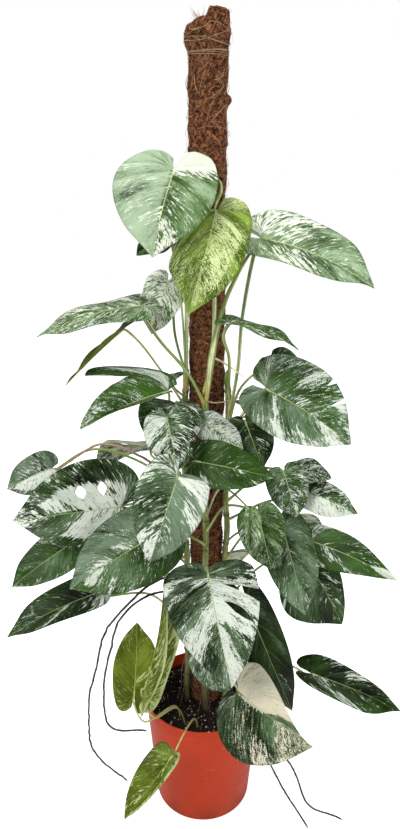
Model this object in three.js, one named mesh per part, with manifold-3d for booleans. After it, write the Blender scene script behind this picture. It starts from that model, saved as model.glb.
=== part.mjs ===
import * as THREE from 'three';
import { mergeVertices } from 'three/addons/utils/BufferGeometryUtils.js';
import Module from 'manifold-3d';

// A potted variegated monstera deliciosa that climbs a coir pole.
// Millimetres, +Z up. The origin is the centre of the pot's underside, and the front looks along -Y.

// Driving sizes: the pot and its soil
const POT_HEIGHT = 268;
const POT_RIM_RADIUS = 127;
const POT_BASE_RADIUS = 104;
const POT_WALL = 2.4;
const RIM_BAND_HEIGHT = 27;
const RIM_BAND_STEP = 3.6;
const POT_EDGE = 1.2;
const POT_FOOT_CHAMFER = 3;
const SOIL_LEVEL = 244;
const SOIL_DOME = 7;
const SOIL_HEAP = 2.5;

// Driving sizes: the pole, its stake and its twine
const POLE_X = 6;
const POLE_Y = 6;
const POLE_RADIUS = 32;
const POLE_TOP = 1584;
const POLE_FOOT = 96;
const POLE_RELIEF = 1.5;
const CAP_HEIGHT = 74;
const CAP_RADIUS = 36;
const CAP_RELIEF = 2.2;
const CORE_RADIUS = 9;
const CORE_TOP = 1530;
const CORE_FOOT = 40;
const TWINE_RADIUS = 1;
const TWINE_TURNS = 3;
const TWINE_PITCH = 9;

// Driving sizes: the plant, and the clearance between any two pieces
const CLEARANCE = 0.3;
const STEM_RADIUS = 6;
const STEM_FOOT = 178;
const STEM_NODE = 64;
const STEM_SWAY = 1.6;
const PETIOLE_RADIUS = 2.8;
const BLADE_THICKNESS = 1.2;
const ROOT_RADIUS = 1.8;

// How finely round shapes are divided
const POT_SEGMENTS = 40;
const POLE_SEGMENTS = 16;
const POLE_RINGS = 22;
const ROUND_SEGMENTS = 24;
const STEM_SIDES = 7;
const STEM_STEPS = 16;
const THIN_SIDES = 5;
const PETIOLE_STEPS = 6;

// Looks
const TERRACOTTA = 0xbe4530;
const SOIL_BLACK = 0x1d1916;
const COIR_BROWN = 0x6e3c28;
const STAKE_WOOD = 0xa98357;
const TWINE_BROWN = 0x97704c;
const STEM_GREEN = 0x7c8b4b;
const LEAF_GREEN = 0x3c5f3c;
const LEAF_LIME = 0x8fae3c;
const ROOT_BROWN = 0x4a3f3c;

const wasm = await Module();
wasm.setup();

const vec = (p) => new THREE.Vector3(...p);

function toSolid(geometry) {
  const bare = geometry.clone();
  bare.deleteAttribute('normal');
  bare.deleteAttribute('uv');
  const merged = mergeVertices(bare, 1e-3);
  const index = merged.index.array;
  const triangles = [];
  for (let i = 0; i < index.length; i += 3) {
    const [a, b, c] = [index[i], index[i + 1], index[i + 2]];
    if (a !== b && b !== c && c !== a) triangles.push(a, b, c);
  }
  return new wasm.Manifold(new wasm.Mesh({
    numProp: 3,
    vertProperties: new Float32Array(merged.attributes.position.array),
    triVerts: new Uint32Array(triangles),
  }));
}

function toGeometry(solid) {
  const mesh = solid.getMesh();
  const geometry = new THREE.BufferGeometry();
  geometry.setAttribute('position', new THREE.BufferAttribute(new Float32Array(mesh.vertProperties), 3));
  geometry.setIndex(new THREE.BufferAttribute(new Uint32Array(mesh.triVerts), 1));
  geometry.computeVertexNormals();
  return geometry;
}

function largestBody(solid) {
  const bodies = solid.decompose();
  bodies.sort((a, b) => b.volume() - a.volume());
  return bodies[0];
}

// A tube of few sides along a smooth curve through the points.
function tube(points, radius, steps, sides = THIN_SIDES) {
  const section = new THREE.Shape();
  for (let i = 0; i < sides; i += 1) {
    const angle = (2 * Math.PI * i) / sides;
    const x = radius * Math.cos(angle);
    const y = radius * Math.sin(angle);
    if (i === 0) section.moveTo(x, y);
    else section.lineTo(x, y);
  }
  section.closePath();
  const curve = new THREE.CatmullRomCurve3(points.map(vec), false, 'centripetal');
  return new THREE.ExtrudeGeometry(section, { steps, bevelEnabled: false, extrudePath: curve });
}

// A profile of radii and heights, turned round the upright axis.
function turned(profile, segments) {
  const points = profile.map(([radius, z]) => new THREE.Vector2(radius, z));
  const geometry = new THREE.LatheGeometry(points, segments);
  geometry.rotateX(Math.PI / 2);
  return geometry;
}

// A round rod on the pole's axis, between two heights.
function rod(radius, foot, top) {
  const geometry = new THREE.CylinderGeometry(radius, radius, top - foot, ROUND_SEGMENTS);
  geometry.rotateX(Math.PI / 2);
  geometry.translate(POLE_X, POLE_Y, (top + foot) / 2);
  return geometry;
}

// Pot: a tapered shell with a stepped rim band.
function potGeometry() {
  const bandFoot = POT_HEIGHT - RIM_BAND_HEIGHT;
  const neck = POT_RIM_RADIUS - RIM_BAND_STEP;
  return turned([
    [0, 0],
    [POT_BASE_RADIUS - POT_FOOT_CHAMFER, 0],
    [POT_BASE_RADIUS, POT_FOOT_CHAMFER],
    [neck, bandFoot],
    [POT_RIM_RADIUS - 1, bandFoot + 1],
    [POT_RIM_RADIUS, POT_HEIGHT - POT_EDGE],
    [POT_RIM_RADIUS - POT_EDGE, POT_HEIGHT],
    [POT_RIM_RADIUS - POT_WALL, POT_HEIGHT - 1],
    [neck - POT_WALL, bandFoot],
    [POT_BASE_RADIUS - POT_WALL, POT_WALL + 1],
    [0, POT_WALL],
  ], POT_SEGMENTS);
}

// Soil: a plug inside the pot with a low dome and small heaps on its top.
function soilGeometry() {
  const gap = POT_WALL + CLEARANCE + 0.2;
  const bandFoot = POT_HEIGHT - RIM_BAND_HEIGHT;
  const neck = POT_RIM_RADIUS - RIM_BAND_STEP - gap;
  const geometry = turned([
    [0, gap + 0.6],
    [POT_BASE_RADIUS - gap - 1, gap + 0.9],
    [neck - 0.6, bandFoot - 1],
    [neck, SOIL_LEVEL],
    [neck * 0.83, SOIL_LEVEL + SOIL_DOME * 0.3],
    [neck * 0.6, SOIL_LEVEL + SOIL_DOME * 0.6],
    [neck * 0.33, SOIL_LEVEL + SOIL_DOME * 0.85],
    [0, SOIL_LEVEL + SOIL_DOME],
  ], ROUND_SEGMENTS);
  const place = geometry.attributes.position;
  for (let i = 0; i < place.count; i += 1) {
    const radius = Math.hypot(place.getX(i), place.getY(i));
    if (place.getZ(i) > SOIL_LEVEL + 1 && radius > 1) {
      const heap = Math.sin(place.getX(i) * 0.09) * Math.cos(place.getY(i) * 0.11);
      place.setZ(i, place.getZ(i) + SOIL_HEAP * heap);
    }
  }
  return geometry;
}

// How far the fibre mat stands in or out of its round, at a turn round the pole and a height: coarse
// strands wind up it as a helix, crossed by a finer one.
function coirRelief(turn, z) {
  const strands = Math.sin(3 * turn + z * 0.11) + 0.6 * Math.sin(5 * turn - z * 0.19 + 1);
  return POLE_RELIEF * 0.6 * strands;
}

// Pole: the rolled mat with its hole for the stake and its thicker cap.
function poleGeometry() {
  const capFoot = POLE_TOP - CAP_HEIGHT;
  const hole = CORE_RADIUS + CLEARANCE + 0.1;
  const profile = [[0, CORE_TOP + 1], [hole, CORE_TOP + 1], [hole, POLE_FOOT]];
  for (let ring = 0; ring < POLE_RINGS; ring += 1) {
    const z = POLE_FOOT + ((capFoot - 6 - POLE_FOOT) * ring) / POLE_RINGS;
    profile.push([POLE_RADIUS, z]);
  }
  profile.push([POLE_RADIUS, capFoot - 4], [CAP_RADIUS - 2, capFoot + 4], [CAP_RADIUS, capFoot + 18]);
  profile.push([CAP_RADIUS - 1, POLE_TOP - 38], [CAP_RADIUS, POLE_TOP - 20], [CAP_RADIUS - 2, POLE_TOP - 6]);
  profile.push([CAP_RADIUS * 0.6, POLE_TOP], [0, POLE_TOP - 3]);
  const geometry = turned(profile, POLE_SEGMENTS);
  const place = geometry.attributes.position;
  for (let i = 0; i < place.count; i += 1) {
    const [x, y, z] = [place.getX(i), place.getY(i), place.getZ(i)];
    const radius = Math.hypot(x, y);
    if (radius > CAP_RADIUS * 0.5) {
      const inCap = z > capFoot - 2;
      const relief = coirRelief(Math.atan2(y, x), z) * (inCap ? CAP_RELIEF / POLE_RELIEF : 1);
      const scale = z < SOIL_LEVEL + 12 ? 1 : 1 + relief / radius;
      place.setXY(i, x * scale, y * scale);
    }
  }
  geometry.translate(POLE_X, POLE_Y, 0);
  return geometry;
}

// Twine: one strand wound in turns round the cap, each a little higher, held just off the mat.
function twinePoints() {
  const points = [];
  const around = 12;
  for (let i = 0; i <= TWINE_TURNS * around; i += 1) {
    const turn = (2 * Math.PI * i) / around;
    const reach = CAP_RADIUS + CAP_RELIEF + TWINE_RADIUS + 0.4;
    const z = POLE_TOP - CAP_HEIGHT + 12 + (TWINE_PITCH * i) / around;
    points.push([POLE_X + reach * Math.cos(turn), POLE_Y + reach * Math.sin(turn), z]);
  }
  return points;
}

// Stems: they stand round the pole against the mat, each with a slight zigzag from node to node.
const STEM_REACH = POLE_RADIUS + 1.5 * POLE_RELIEF + STEM_RADIUS + 1;
const STEMS = {
  front: { turn: -93, top: 968 },
  left: { turn: -158, top: 1010 },
  right: { turn: -24, top: 1000 },
  back: { turn: 84, top: 985 },
};

// A point on a stem's axis at a height; it leans out by a little at every second node.
function stemPoint(name, z) {
  const turn = THREE.MathUtils.degToRad(STEMS[name].turn);
  const sway = STEM_SWAY * (1 + Math.sin((Math.PI * z) / STEM_NODE));
  const across = STEM_SWAY * Math.sin((Math.PI * z) / (STEM_NODE * 1.7) + STEMS[name].turn);
  const reach = STEM_REACH + sway;
  const x = POLE_X + reach * Math.cos(turn) - across * Math.sin(turn);
  const y = POLE_Y + reach * Math.sin(turn) + across * Math.cos(turn);
  return [x, y, z];
}

function stemPoints(name) {
  const { top } = STEMS[name];
  const spans = 12;
  const points = [];
  for (let i = 0; i <= spans; i += 1) {
    points.push(stemPoint(name, STEM_FOOT + ((top - STEM_FOOT) * i) / spans));
  }
  return points;
}

// Leaf blade. The margin runs from the back of a lobe round to the tip, in parts of the blade's
// length and width, and is smoothed by a spline.
const HALF_OUTLINE = new THREE.SplineCurve([
  new THREE.Vector2(-0.15, 0.045),
  new THREE.Vector2(-0.2, 0.16),
  new THREE.Vector2(-0.16, 0.33),
  new THREE.Vector2(0, 0.46),
  new THREE.Vector2(0.24, 0.5),
  new THREE.Vector2(0.49, 0.45),
  new THREE.Vector2(0.73, 0.31),
  new THREE.Vector2(0.9, 0.12),
  new THREE.Vector2(1, 0),
]);
const VEINS_FAN_UNTIL = 0.3;
const NOTCH_POWER = 0.4;
const SLIT_POWER = 0.7;
const LEAF_DEFAULTS = {
  bow: 10,
  fold: 8,
  camber: -5,
  wave: 4,
  waves: 2.5,
  phase: 0,
  lean: 0,
  lobe: 1,
  sweep: 0,
  taper: 0,
  fan: 1.3,
  left: [],
  right: [],
  radius: PETIOLE_RADIUS,
  columns: [0, 0.5, 1],
  rows: 8,
  via: [],
  steps: PETIOLE_STEPS,
  behind: 26,
};

// The blade's own axes: along its midrib, across it, and out of its upper face.
function bladeAxes(leaf) {
  const base = vec(leaf.base);
  const chord = vec(leaf.tip).sub(base);
  const length = chord.length();
  const along = chord.clone().normalize();
  const face = vec(leaf.face);
  face.addScaledVector(along, -face.dot(along)).normalize();
  const across = new THREE.Vector3().crossVectors(face, along);
  return { base, length, along, across, face };
}

// A point of the blade's middle surface. `margin` runs from 0 at the back of the lobe to 1 at the tip,
// `out` from 0 on the midrib to 1 on the margin, and `side` is 1 or -1. A vein leaves the midrib and
// bends towards the tip; the halves fold up from the midrib, curl at the margin and wave along it,
// and the wave fades out towards the tip. A leaf's `lobe` sets how far a half reaches behind the base,
// `lean` widens the first half, `taper` narrows a half towards the tip, `sweep` draws its outer parts
// towards the tip, and `fan` gathers the veins' roots near the base.
function bladePoint(leaf, axes, side, margin, out) {
  const edge = HALF_OUTLINE.getPoint(margin);
  if (edge.x < 0) edge.x *= side > 0 ? leaf.lobe : leaf.leftLobe ?? leaf.lobe;
  else edge.y *= 1 - edge.x * (side > 0 ? leaf.taper : leaf.leftTaper ?? leaf.taper);
  const past = Math.max(0, margin - VEINS_FAN_UNTIL) / (1 - VEINS_FAN_UNTIL);
  const root = past ** leaf.fan;
  const bend = 2 * out * (1 - out);
  const end = out * out;
  const v = (bend * 0.55 + end) * edge.y * (1 + side * leaf.lean);
  const straight = root * (1 - out) ** 2 + bend * (root + 0.3 * (edge.x - root)) + end * edge.x;
  const sweep = side > 0 ? leaf.sweep : leaf.leftSweep ?? leaf.sweep;
  const u = straight + sweep * (2 * v) ** 2 * (1 - straight);
  const fold = THREE.MathUtils.degToRad(leaf.fold);
  const wide = leaf.width * v;
  const fade = Math.min(1, 4 * (1 - margin));
  const wave = leaf.wave * fade * end * Math.sin(2 * Math.PI * leaf.waves * margin + leaf.phase + side);
  const lift = leaf.bow * 4 * u * (1 - u);
  const rise = wide * Math.sin(fold) + leaf.camber * (2 * v) ** 2 + wave + lift;
  return axes.base.clone()
    .addScaledVector(axes.along, axes.length * u)
    .addScaledVector(axes.across, side * wide * Math.cos(fold))
    .addScaledVector(axes.face, rise);
}

// Both edges of a slit or hole, as places on the margin's run, at a way out from the midrib. A hole
// closes again before the margin; a notch opens wide from its inner end to its own two places.
function slitEdges(slit, out) {
  const way = (out - slit.from) / (slit.to - slit.from);
  if (way < 1e-6 || (slit.to < 1 && way > 1 - 1e-6)) return [slit.at, slit.at];
  if (slit.opens) return slit.opens.map((edge) => slit.at + (edge - slit.at) * way ** NOTCH_POWER);
  const half = slit.half * (slit.to < 1 ? Math.sin(Math.PI * way) : way ** SLIT_POWER);
  return [slit.at - half, slit.at + half];
}

// Where the rows of both halves leave the midrib: at every slit of either half, and evenly between.
function bladeRows(leaf) {
  const borders = [0, ...leaf.left.map((slit) => slit.at), ...leaf.right.map((slit) => slit.at), 1];
  const ordered = [...new Set(borders)].sort((a, b) => a - b);
  const roots = [0];
  for (let i = 0; i + 1 < ordered.length; i += 1) {
    const span = ordered[i + 1] - ordered[i];
    const rows = Math.max(1, Math.round(span * leaf.rows));
    for (let row = 1; row < rows; row += 1) roots.push(ordered[i] + (span * row) / rows);
    roots.push(ordered[i + 1]);
  }
  return roots;
}

// The middle surface as points and triangles. Each half is cut in panels by its slits, and panels
// share their points where a slit is closed.
function bladeSurface(leaf) {
  const axes = bladeAxes(leaf);
  const points = [];
  const triangles = [];
  const places = new Map();
  const pointAt = (side, margin, out) => {
    const place = bladePoint(leaf, axes, side, margin, out);
    const key = place.toArray().map((value) => value.toFixed(2)).join(' ');
    if (!places.has(key)) {
      places.set(key, points.length);
      points.push(place);
    }
    return places.get(key);
  };
  const add = (side, a, b, c) => {
    if (a === b || b === c || c === a) return;
    if (side > 0) triangles.push([a, b, c]);
    else triangles.push([a, c, b]);
  };
  const rootRows = bladeRows(leaf);
  for (const side of [1, -1]) {
    const slits = [...(side > 0 ? leaf.right : leaf.left)].sort((a, b) => a.at - b.at);
    const edges = [() => 0];
    for (const slit of slits) {
      edges.push((out) => slitEdges(slit, out)[0], (out) => slitEdges(slit, out)[1]);
    }
    edges.push(() => 1);
    for (let panel = 0; panel < edges.length; panel += 2) {
      const [first, last] = [edges[panel], edges[panel + 1]];
      const span = last(0) - first(0);
      const roots = rootRows.filter((root) => root >= first(0) && root <= last(0));
      const grid = roots.map((root) => leaf.columns.map((out) => {
        const part = (root - first(0)) / span;
        return pointAt(side, first(out) + (last(out) - first(out)) * part, out);
      }));
      for (let row = 0; row + 1 < grid.length; row += 1) {
        for (let column = 0; column + 1 < leaf.columns.length; column += 1) {
          const [a, b] = [grid[row][column], grid[row][column + 1]];
          const [c, d] = [grid[row + 1][column + 1], grid[row + 1][column]];
          add(side, a, b, c);
          add(side, a, c, d);
        }
      }
    }
  }
  return { points, triangles };
}

// A closed solid from a surface: both faces stand half the thickness off it, along its normals, and
// walls join them round every free edge.
function thicken({ points, triangles }, thickness) {
  const normals = points.map(() => new THREE.Vector3());
  const edges = new Map();
  for (const [a, b, c] of triangles) {
    const normal = new THREE.Vector3().crossVectors(
      points[b].clone().sub(points[a]),
      points[c].clone().sub(points[a]),
    );
    for (const i of [a, b, c]) normals[i].add(normal);
    for (const [i, j] of [[a, b], [b, c], [c, a]]) {
      if (edges.has(`${j} ${i}`)) edges.delete(`${j} ${i}`);
      else edges.set(`${i} ${j}`, [i, j]);
    }
  }
  const place = [];
  for (const sign of [0.5, -0.5]) {
    points.forEach((point, i) => {
      const normal = normals[i].clone().normalize();
      place.push(...point.clone().addScaledVector(normal, sign * thickness).toArray());
    });
  }
  const count = points.length;
  const index = [];
  for (const [a, b, c] of triangles) {
    index.push(a, b, c);
    index.push(a + count, c + count, b + count);
  }
  for (const [i, j] of edges.values()) index.push(i, i + count, j, j, i + count, j + count);
  const geometry = new THREE.BufferGeometry();
  geometry.setAttribute('position', new THREE.BufferAttribute(new Float32Array(place), 3));
  geometry.setIndex(index);
  return geometry;
}

// Petiole: from the axis of its stem out to the underside of the blade, where it runs into the midrib.
function petiolePoints(leaf) {
  const axes = bladeAxes(leaf);
  const start = leaf.stem ? stemPoint(leaf.stem, leaf.height) : leaf.foot;
  const back = axes.base.clone().addScaledVector(axes.face, -leaf.behind).addScaledVector(axes.along, -4);
  const neck = axes.base.clone().addScaledVector(axes.face, -leaf.radius * 0.75);
  const end = neck.clone().addScaledVector(axes.along, axes.length * 0.07);
  end.addScaledVector(axes.face, leaf.bow * 0.26);
  return [start, ...leaf.via, back.toArray(), neck.toArray(), end.toArray()];
}

function leafSolid(leaf) {
  const blade = toSolid(thicken(bladeSurface(leaf), BLADE_THICKNESS));
  const points = petiolePoints(leaf);
  const petiole = toSolid(tube(points, leaf.radius, leaf.steps));
  let solid = blade.add(petiole);
  for (const name of Object.keys(STEMS)) solid = solid.subtract(stemClearance[name]);
  return largestBody(solid);
}

const stemClearance = {};
for (const name of Object.keys(STEMS)) {
  const reach = STEM_RADIUS + CLEARANCE * 1.2;
  stemClearance[name] = toSolid(tube(stemPoints(name), reach, STEM_STEPS, STEM_SIDES));
}

// The leaves, from the top of the plant down: the stem and the height each grows from, where its blade
// begins and ends, the way its face looks, and its width; then what makes its shape its own.
const HOLE_COLUMNS = [0, 0.24, 0.38, 0.52, 1];
const SLIT_COLUMNS = [0, 0.35, 0.55, 0.78, 1];
const LEAVES = {
  leaf_01: {
    stem: 'left', height: 955, base: [-48, -56, 1345], tip: [-82, -114, 1215], face: [-1, -9, 5],
    width: 168, bow: 12, camber: -9, lean: -0.06, lobe: 1.45, leftLobe: 1, phase: 0.5, radius: 4.2,
    via: [[-30, -38, 1120], [-34, -40, 1290]],
  },
  leaf_02: {
    stem: 'front', height: 962, base: [20, -62, 1280], tip: [-26, -130, 1126], face: [2, -9, 4],
    width: 119, bow: 8, fold: 12, phase: 2, lean: 0.1, leftLobe: 0.1, leftSweep: 0.58, radius: 5,
    behind: 20, via: [[16, -56, 1050], [18, -48, 1180]],
  },
  leaf_03: {
    stem: 'right', height: 900, base: [98, -30, 1236], tip: [285, -70, 1159], face: [1, -6, 8],
    width: 140, bow: 16, camber: -12, phase: 1, lean: 0.28, radius: 3.6,
    via: [[62, -26, 1008], [68, -24, 1100]],
  },
  leaf_04: {
    stem: 'front', height: 940, base: [-108, -72, 1130], tip: [-274, -118, 1088], face: [0, -2, 9],
    width: 104, bow: 10, camber: -10, leftTaper: 0.35, phase: 4, radius: 3.2,
    via: [[-30, -58, 1010], [-76, -70, 1070]],
  },
  leaf_05: {
    stem: 'left', height: 990, base: [-64, 0, 1156], tip: [-94, -12, 1066], face: [-2, -8, 5],
    width: 80, bow: 5, phase: 3, rows: 7, behind: 16, via: [[-52, 6, 1060]],
  },
  leaf_06: {
    stem: 'left', height: 930, base: [-137, -80, 1092], tip: [-232, -120, 1006], face: [-7, 0, 7],
    width: 62, bow: 2, fold: 14, camber: -3, taper: 0.6, phase: 5, rows: 7, radius: 2.4,
    via: [[-84, -24, 1012]],
  },
  leaf_07: {
    stem: 'left', height: 870, base: [-62, -95, 986], tip: [-204, -168, 944], face: [-1, -7, 6],
    width: 97, bow: 15, phase: 1.4, lean: -0.88, lobe: 0.3, leftLobe: 1, leftSweep: 0.15,
    left: [{ at: 0.47, from: 0.5, to: 1, opens: [0.6, 0.95] }], columns: [0, 0.3, 0.5, 0.6, 0.8, 1],
    behind: 14, via: [[-60, -44, 946]],
  },
  leaf_08: {
    stem: 'front', height: 840, base: [-48, -76, 956], tip: [-66, -110, 872], face: [1, -6, 7],
    width: 116, bow: 10, camber: -10, lean: -0.1, lobe: 0.5, leftLobe: 0.2, phase: 2.2, behind: 14,
    via: [[-10, -50, 900]],
  },
  leaf_09: {
    stem: 'left', height: 780, base: [-61, -156, 959], tip: [-42, -188, 878], face: [0, -9, 4],
    width: 86, bow: 6, phase: 0, via: [[-60, -60, 826], [-64, -128, 872]],
  },
  leaf_10: {
    stem: 'left', height: 740, base: [-280, -60, 825], tip: [-358, -90, 797], face: [-2, -8, 4],
    width: 80, bow: 6, phase: 3.3, rows: 7, via: [[-120, -20, 820], [-210, -30, 850]],
  },
  leaf_11: {
    stem: 'left', height: 690, base: [-147, -115, 775], tip: [-334, -155, 768], face: [-1, -9, 4],
    width: 156, bow: 14, camber: -9, phase: 1, lean: -0.17, columns: HOLE_COLUMNS,
    left: [{ at: 0.47, from: 0.24, to: 0.52, half: 0.03 }, { at: 0.6, from: 0.24, to: 0.52, half: 0.03 }],
    via: [[-80, -50, 750]],
  },
  leaf_12: {
    stem: 'left', height: 600, base: [-242, -110, 697], tip: [-346, -160, 636], face: [-2, -8, 5],
    width: 84, bow: 8, phase: 2.5, via: [[-110, -40, 670], [-190, -70, 720]],
  },
  leaf_13: {
    stem: 'front', height: 650, base: [-80, -160, 745], tip: [-230, -216, 670], face: [-1, -8, 5],
    width: 138, bow: 14, camber: -10, phase: 4.1, via: [[-30, -90, 700]],
  },
  leaf_14: {
    stem: 'front', height: 735, base: [-42, -214, 880], tip: [-88, -258, 747], face: [0, -9, 4],
    width: 118, bow: 9, lobe: 0.3, leftLobe: 1, phase: 0.8, via: [[-16, -90, 776], [-38, -160, 830]],
  },
  leaf_15: {
    stem: 'front', height: 780, base: [-14, -128, 869], tip: [122, -136, 841], face: [0, -8, 6],
    width: 86, bow: 8, lobe: 0.6, phase: 5.2, via: [[-8, -76, 830]],
  },
  leaf_16: {
    stem: 'right', height: 840, base: [110, -84, 986], tip: [252, -132, 902], face: [1, -8, 5],
    width: 153, bow: 16, camber: -13, phase: 2.9, lean: 0.11, lobe: 1.2, leftLobe: 1, radius: 3.4,
    columns: SLIT_COLUMNS,
    right: [{ at: 0.64, from: 0.78, to: 1, half: 0.012 }, { at: 0.74, from: 0.55, to: 1, half: 0.01 }],
    via: [[70, -36, 920]],
  },
  leaf_17: {
    stem: 'right', height: 950, base: [46, -80, 1104], tip: [159, -104, 1062], face: [1, 0, 9],
    width: 80, bow: 8, phase: 1.9, radius: 3.2, via: [[44, -56, 1036]],
  },
  leaf_18: {
    stem: 'right', height: 760, base: [145, -92, 829], tip: [168, -115, 753], face: [1, -9, 3],
    width: 78, bow: 5, phase: 0.3, rows: 7, via: [[86, -50, 820]],
  },
  leaf_19: {
    stem: 'right', height: 730, base: [172, -40, 812], tip: [238, -62, 805], face: [1, -5, 8],
    width: 62, bow: 6, phase: 4.4, rows: 7, via: [[110, -20, 790]],
  },
  leaf_20: {
    stem: 'right', height: 690, base: [191, -64, 780], tip: [283, -98, 751], face: [1, -7, 6],
    width: 72, bow: 7, taper: 0.25, leftTaper: 0, phase: 2, rows: 7, via: [[120, -30, 740]],
  },
  leaf_21: {
    stem: 'right', height: 560, base: [212, -60, 670], tip: [364, -115, 619], face: [1, -7, 7],
    width: 90, bow: 14, camber: -8, taper: 0.4, phase: 3.7, via: [[110, -26, 640]],
  },
  leaf_22: {
    stem: 'front', height: 680, base: [95, -150, 776], tip: [118, -182, 686], face: [1, -9, 3],
    width: 84, bow: 6, phase: 5.5, rows: 7, via: [[44, -84, 760]],
  },
  leaf_23: {
    stem: 'front', height: 710, base: [79, -180, 795], tip: [80, -196, 730], face: [1, -9, 3],
    width: 62, bow: 4, fold: 62, phase: 1.2, rows: 7, radius: 2.2, via: [[34, -90, 800]],
  },
  leaf_24: {
    stem: 'right', height: 600, base: [146, -104, 723], tip: [188, -152, 569], face: [1, -9, 3],
    width: 98, bow: 9, phase: 2.7, via: [[90, -50, 690]],
  },
  leaf_25: {
    stem: 'right', height: 500, base: [201, -24, 618], tip: [276, -76, 493], face: [2, -8, 4],
    width: 138, bow: 9, phase: 4.9, lean: -0.33, leftSweep: 0.15, via: [[120, 0, 580]],
  },
  leaf_26: {
    stem: 'front', height: 520, base: [7, -194, 685], tip: [49, -252, 489], face: [0, -9, 3],
    width: 174, bow: 14, camber: -8, lobe: 0.4, leftLobe: 0.6, taper: 0.3, fan: 2.2, phase: 0.2, rows: 10,
    right: [{ at: 0.5, from: 0.25, to: 1, half: 0.027 }, { at: 0.62, from: 0.25, to: 0.94, half: 0.02 }],
    columns: [0, 0.25, 0.48, 0.72, 0.94, 1], via: [[-2, -90, 600]],
  },
  leaf_27: {
    stem: 'right', height: 440, base: [88, -70, 532], tip: [183, -96, 294], face: [1, -9, 1],
    width: 90, bow: 16, phase: 3.1, via: [[74, -30, 500]],
  },
  leaf_28: {
    foot: [34, -52, 200], base: [67, -156, 397], tip: [208, -206, 311], face: [1, -9, 3],
    width: 172, bow: 12, camber: -10, phase: 1.6, lean: -0.13, lobe: 0.8, leftLobe: 0.6,
    taper: 1, leftTaper: -0.15, leftSweep: 0.1, via: [[42, -66, 290], [50, -98, 366]],
  },
  leaf_29: {
    stem: 'right', height: 320, base: [228, -50, 350], tip: [402, -110, 308], face: [1, -6, 8],
    width: 92, bow: 12, fold: 30, taper: 0.35, leftTaper: -0.25, leftSweep: 0.25, phase: 0.9,
    via: [[110, -20, 355], [188, -40, 360]],
  },
  leaf_30: {
    foot: [-46, -44, 200], base: [-141, -92, 330], tip: [-133, -58, 485], face: [1, 9, -2],
    width: 98, bow: 8, phase: 2.1, radius: 2.2, behind: 10, via: [[-60, -76, 290], [-120, -116, 286]],
  },
  leaf_31: {
    foot: [-30, -64, 200], base: [-113, -142, 392], tip: [-74, -72, 636], face: [9, -5, 0],
    width: 90, bow: 12, fold: 58, phase: 5, radius: 2.2, behind: 8,
    via: [[-56, -92, 300], [-98, -132, 312]],
  },
  leaf_32: {
    foot: [-8, -74, 200], base: [-60, -192, 274], tip: [-152, -242, 168], face: [-1, -8, 5],
    width: 57, bow: 10, lobe: 0.4, lean: -0.42, phase: 0.6, radius: 2.2, behind: 12,
    via: [[-18, -110, 288], [-40, -164, 298]],
  },
  leaf_33: {
    stem: 'left', height: 440, base: [-206, -50, 551], tip: [-382, -110, 488], face: [-1, -5, 8],
    width: 84, bow: 14, lobe: 0.5, lean: -0.22, phase: 3.5, via: [[-110, -20, 525]],
  },
  leaf_34: {
    stem: 'front', height: 350, base: [-1, -112, 446], tip: [52, -142, 383], face: [0, -8, 5],
    width: 72, bow: 5, phase: 4.6, rows: 7, via: [[4, -70, 420]],
  },
  leaf_35: {
    stem: 'front', height: 905, base: [2, -78, 920], tip: [70, -102, 882], face: [0, -7, 7],
    width: 60, bow: 5, phase: 1.1, behind: 10, radius: 2.2, steps: 4, rows: 7,
  },
  leaf_36: {
    stem: 'right', height: 790, base: [77, -46, 909], tip: [108, -74, 829], face: [1, -9, 3],
    width: 84, bow: 5, phase: 2.3, rows: 7, behind: 14,
  },
  leaf_37: {
    stem: 'back', height: 960, base: [-2, 104, 1240], tip: [10, 186, 1128], face: [0, 9, 4],
    width: 126, bow: 12, phase: 0.4, rows: 6, via: [[12, 66, 1100]],
  },
  leaf_38: {
    stem: 'back', height: 850, base: [-70, 104, 955], tip: [-152, 182, 866], face: [-5, 8, 4],
    width: 118, bow: 12, phase: 1.7, rows: 6, via: [[-20, 76, 900]],
  },
  leaf_39: {
    stem: 'back', height: 800, base: [112, 104, 900], tip: [222, 186, 815], face: [5, 8, 4],
    width: 132, bow: 13, phase: 3, rows: 6, via: [[44, 76, 860]],
  },
  leaf_40: {
    stem: 'back', height: 700, base: [-112, 112, 800], tip: [-232, 190, 712], face: [-5, 8, 4],
    width: 134, bow: 14, phase: 4.3, rows: 6, columns: HOLE_COLUMNS,
    right: [{ at: 0.55, from: 0.24, to: 0.52, half: 0.03 }], via: [[-40, 80, 760]],
  },
  leaf_41: {
    stem: 'back', height: 650, base: [14, 150, 780], tip: [26, 262, 650], face: [0, 9, 4],
    width: 152, bow: 15, phase: 5.6, rows: 6, columns: SLIT_COLUMNS,
    left: [{ at: 0.5, from: 0.55, to: 1, half: 0.03 }], via: [[8, 96, 740]],
  },
  leaf_42: {
    stem: 'back', height: 540, base: [152, 100, 640], tip: [270, 176, 540], face: [5, 8, 4],
    width: 132, bow: 12, phase: 0.7, rows: 6, via: [[70, 76, 610]],
  },
  leaf_43: {
    stem: 'back', height: 480, base: [-142, 92, 600], tip: [-262, 168, 492], face: [-5, 8, 4],
    width: 132, bow: 12, phase: 2.4, rows: 6, via: [[-60, 76, 560]],
  },
  leaf_44: {
    stem: 'back', height: 400, base: [30, 140, 520], tip: [50, 250, 400], face: [0, 9, 4],
    width: 146, bow: 13, phase: 3.9, rows: 6, via: [[14, 92, 480]],
  },
  leaf_45: {
    stem: 'left', height: 982, base: [-63, -34, 1243], tip: [-113, -50, 1210], face: [-1, -8, 5],
    width: 50, bow: 4, phase: 1.3, rows: 6, behind: 10, radius: 2.2, via: [[-40, -26, 1130]],
  },
  leaf_46: {
    stem: 'right', height: 880, base: [132, -8, 1010], tip: [197, -22, 914], face: [1, -8, 4],
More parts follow.
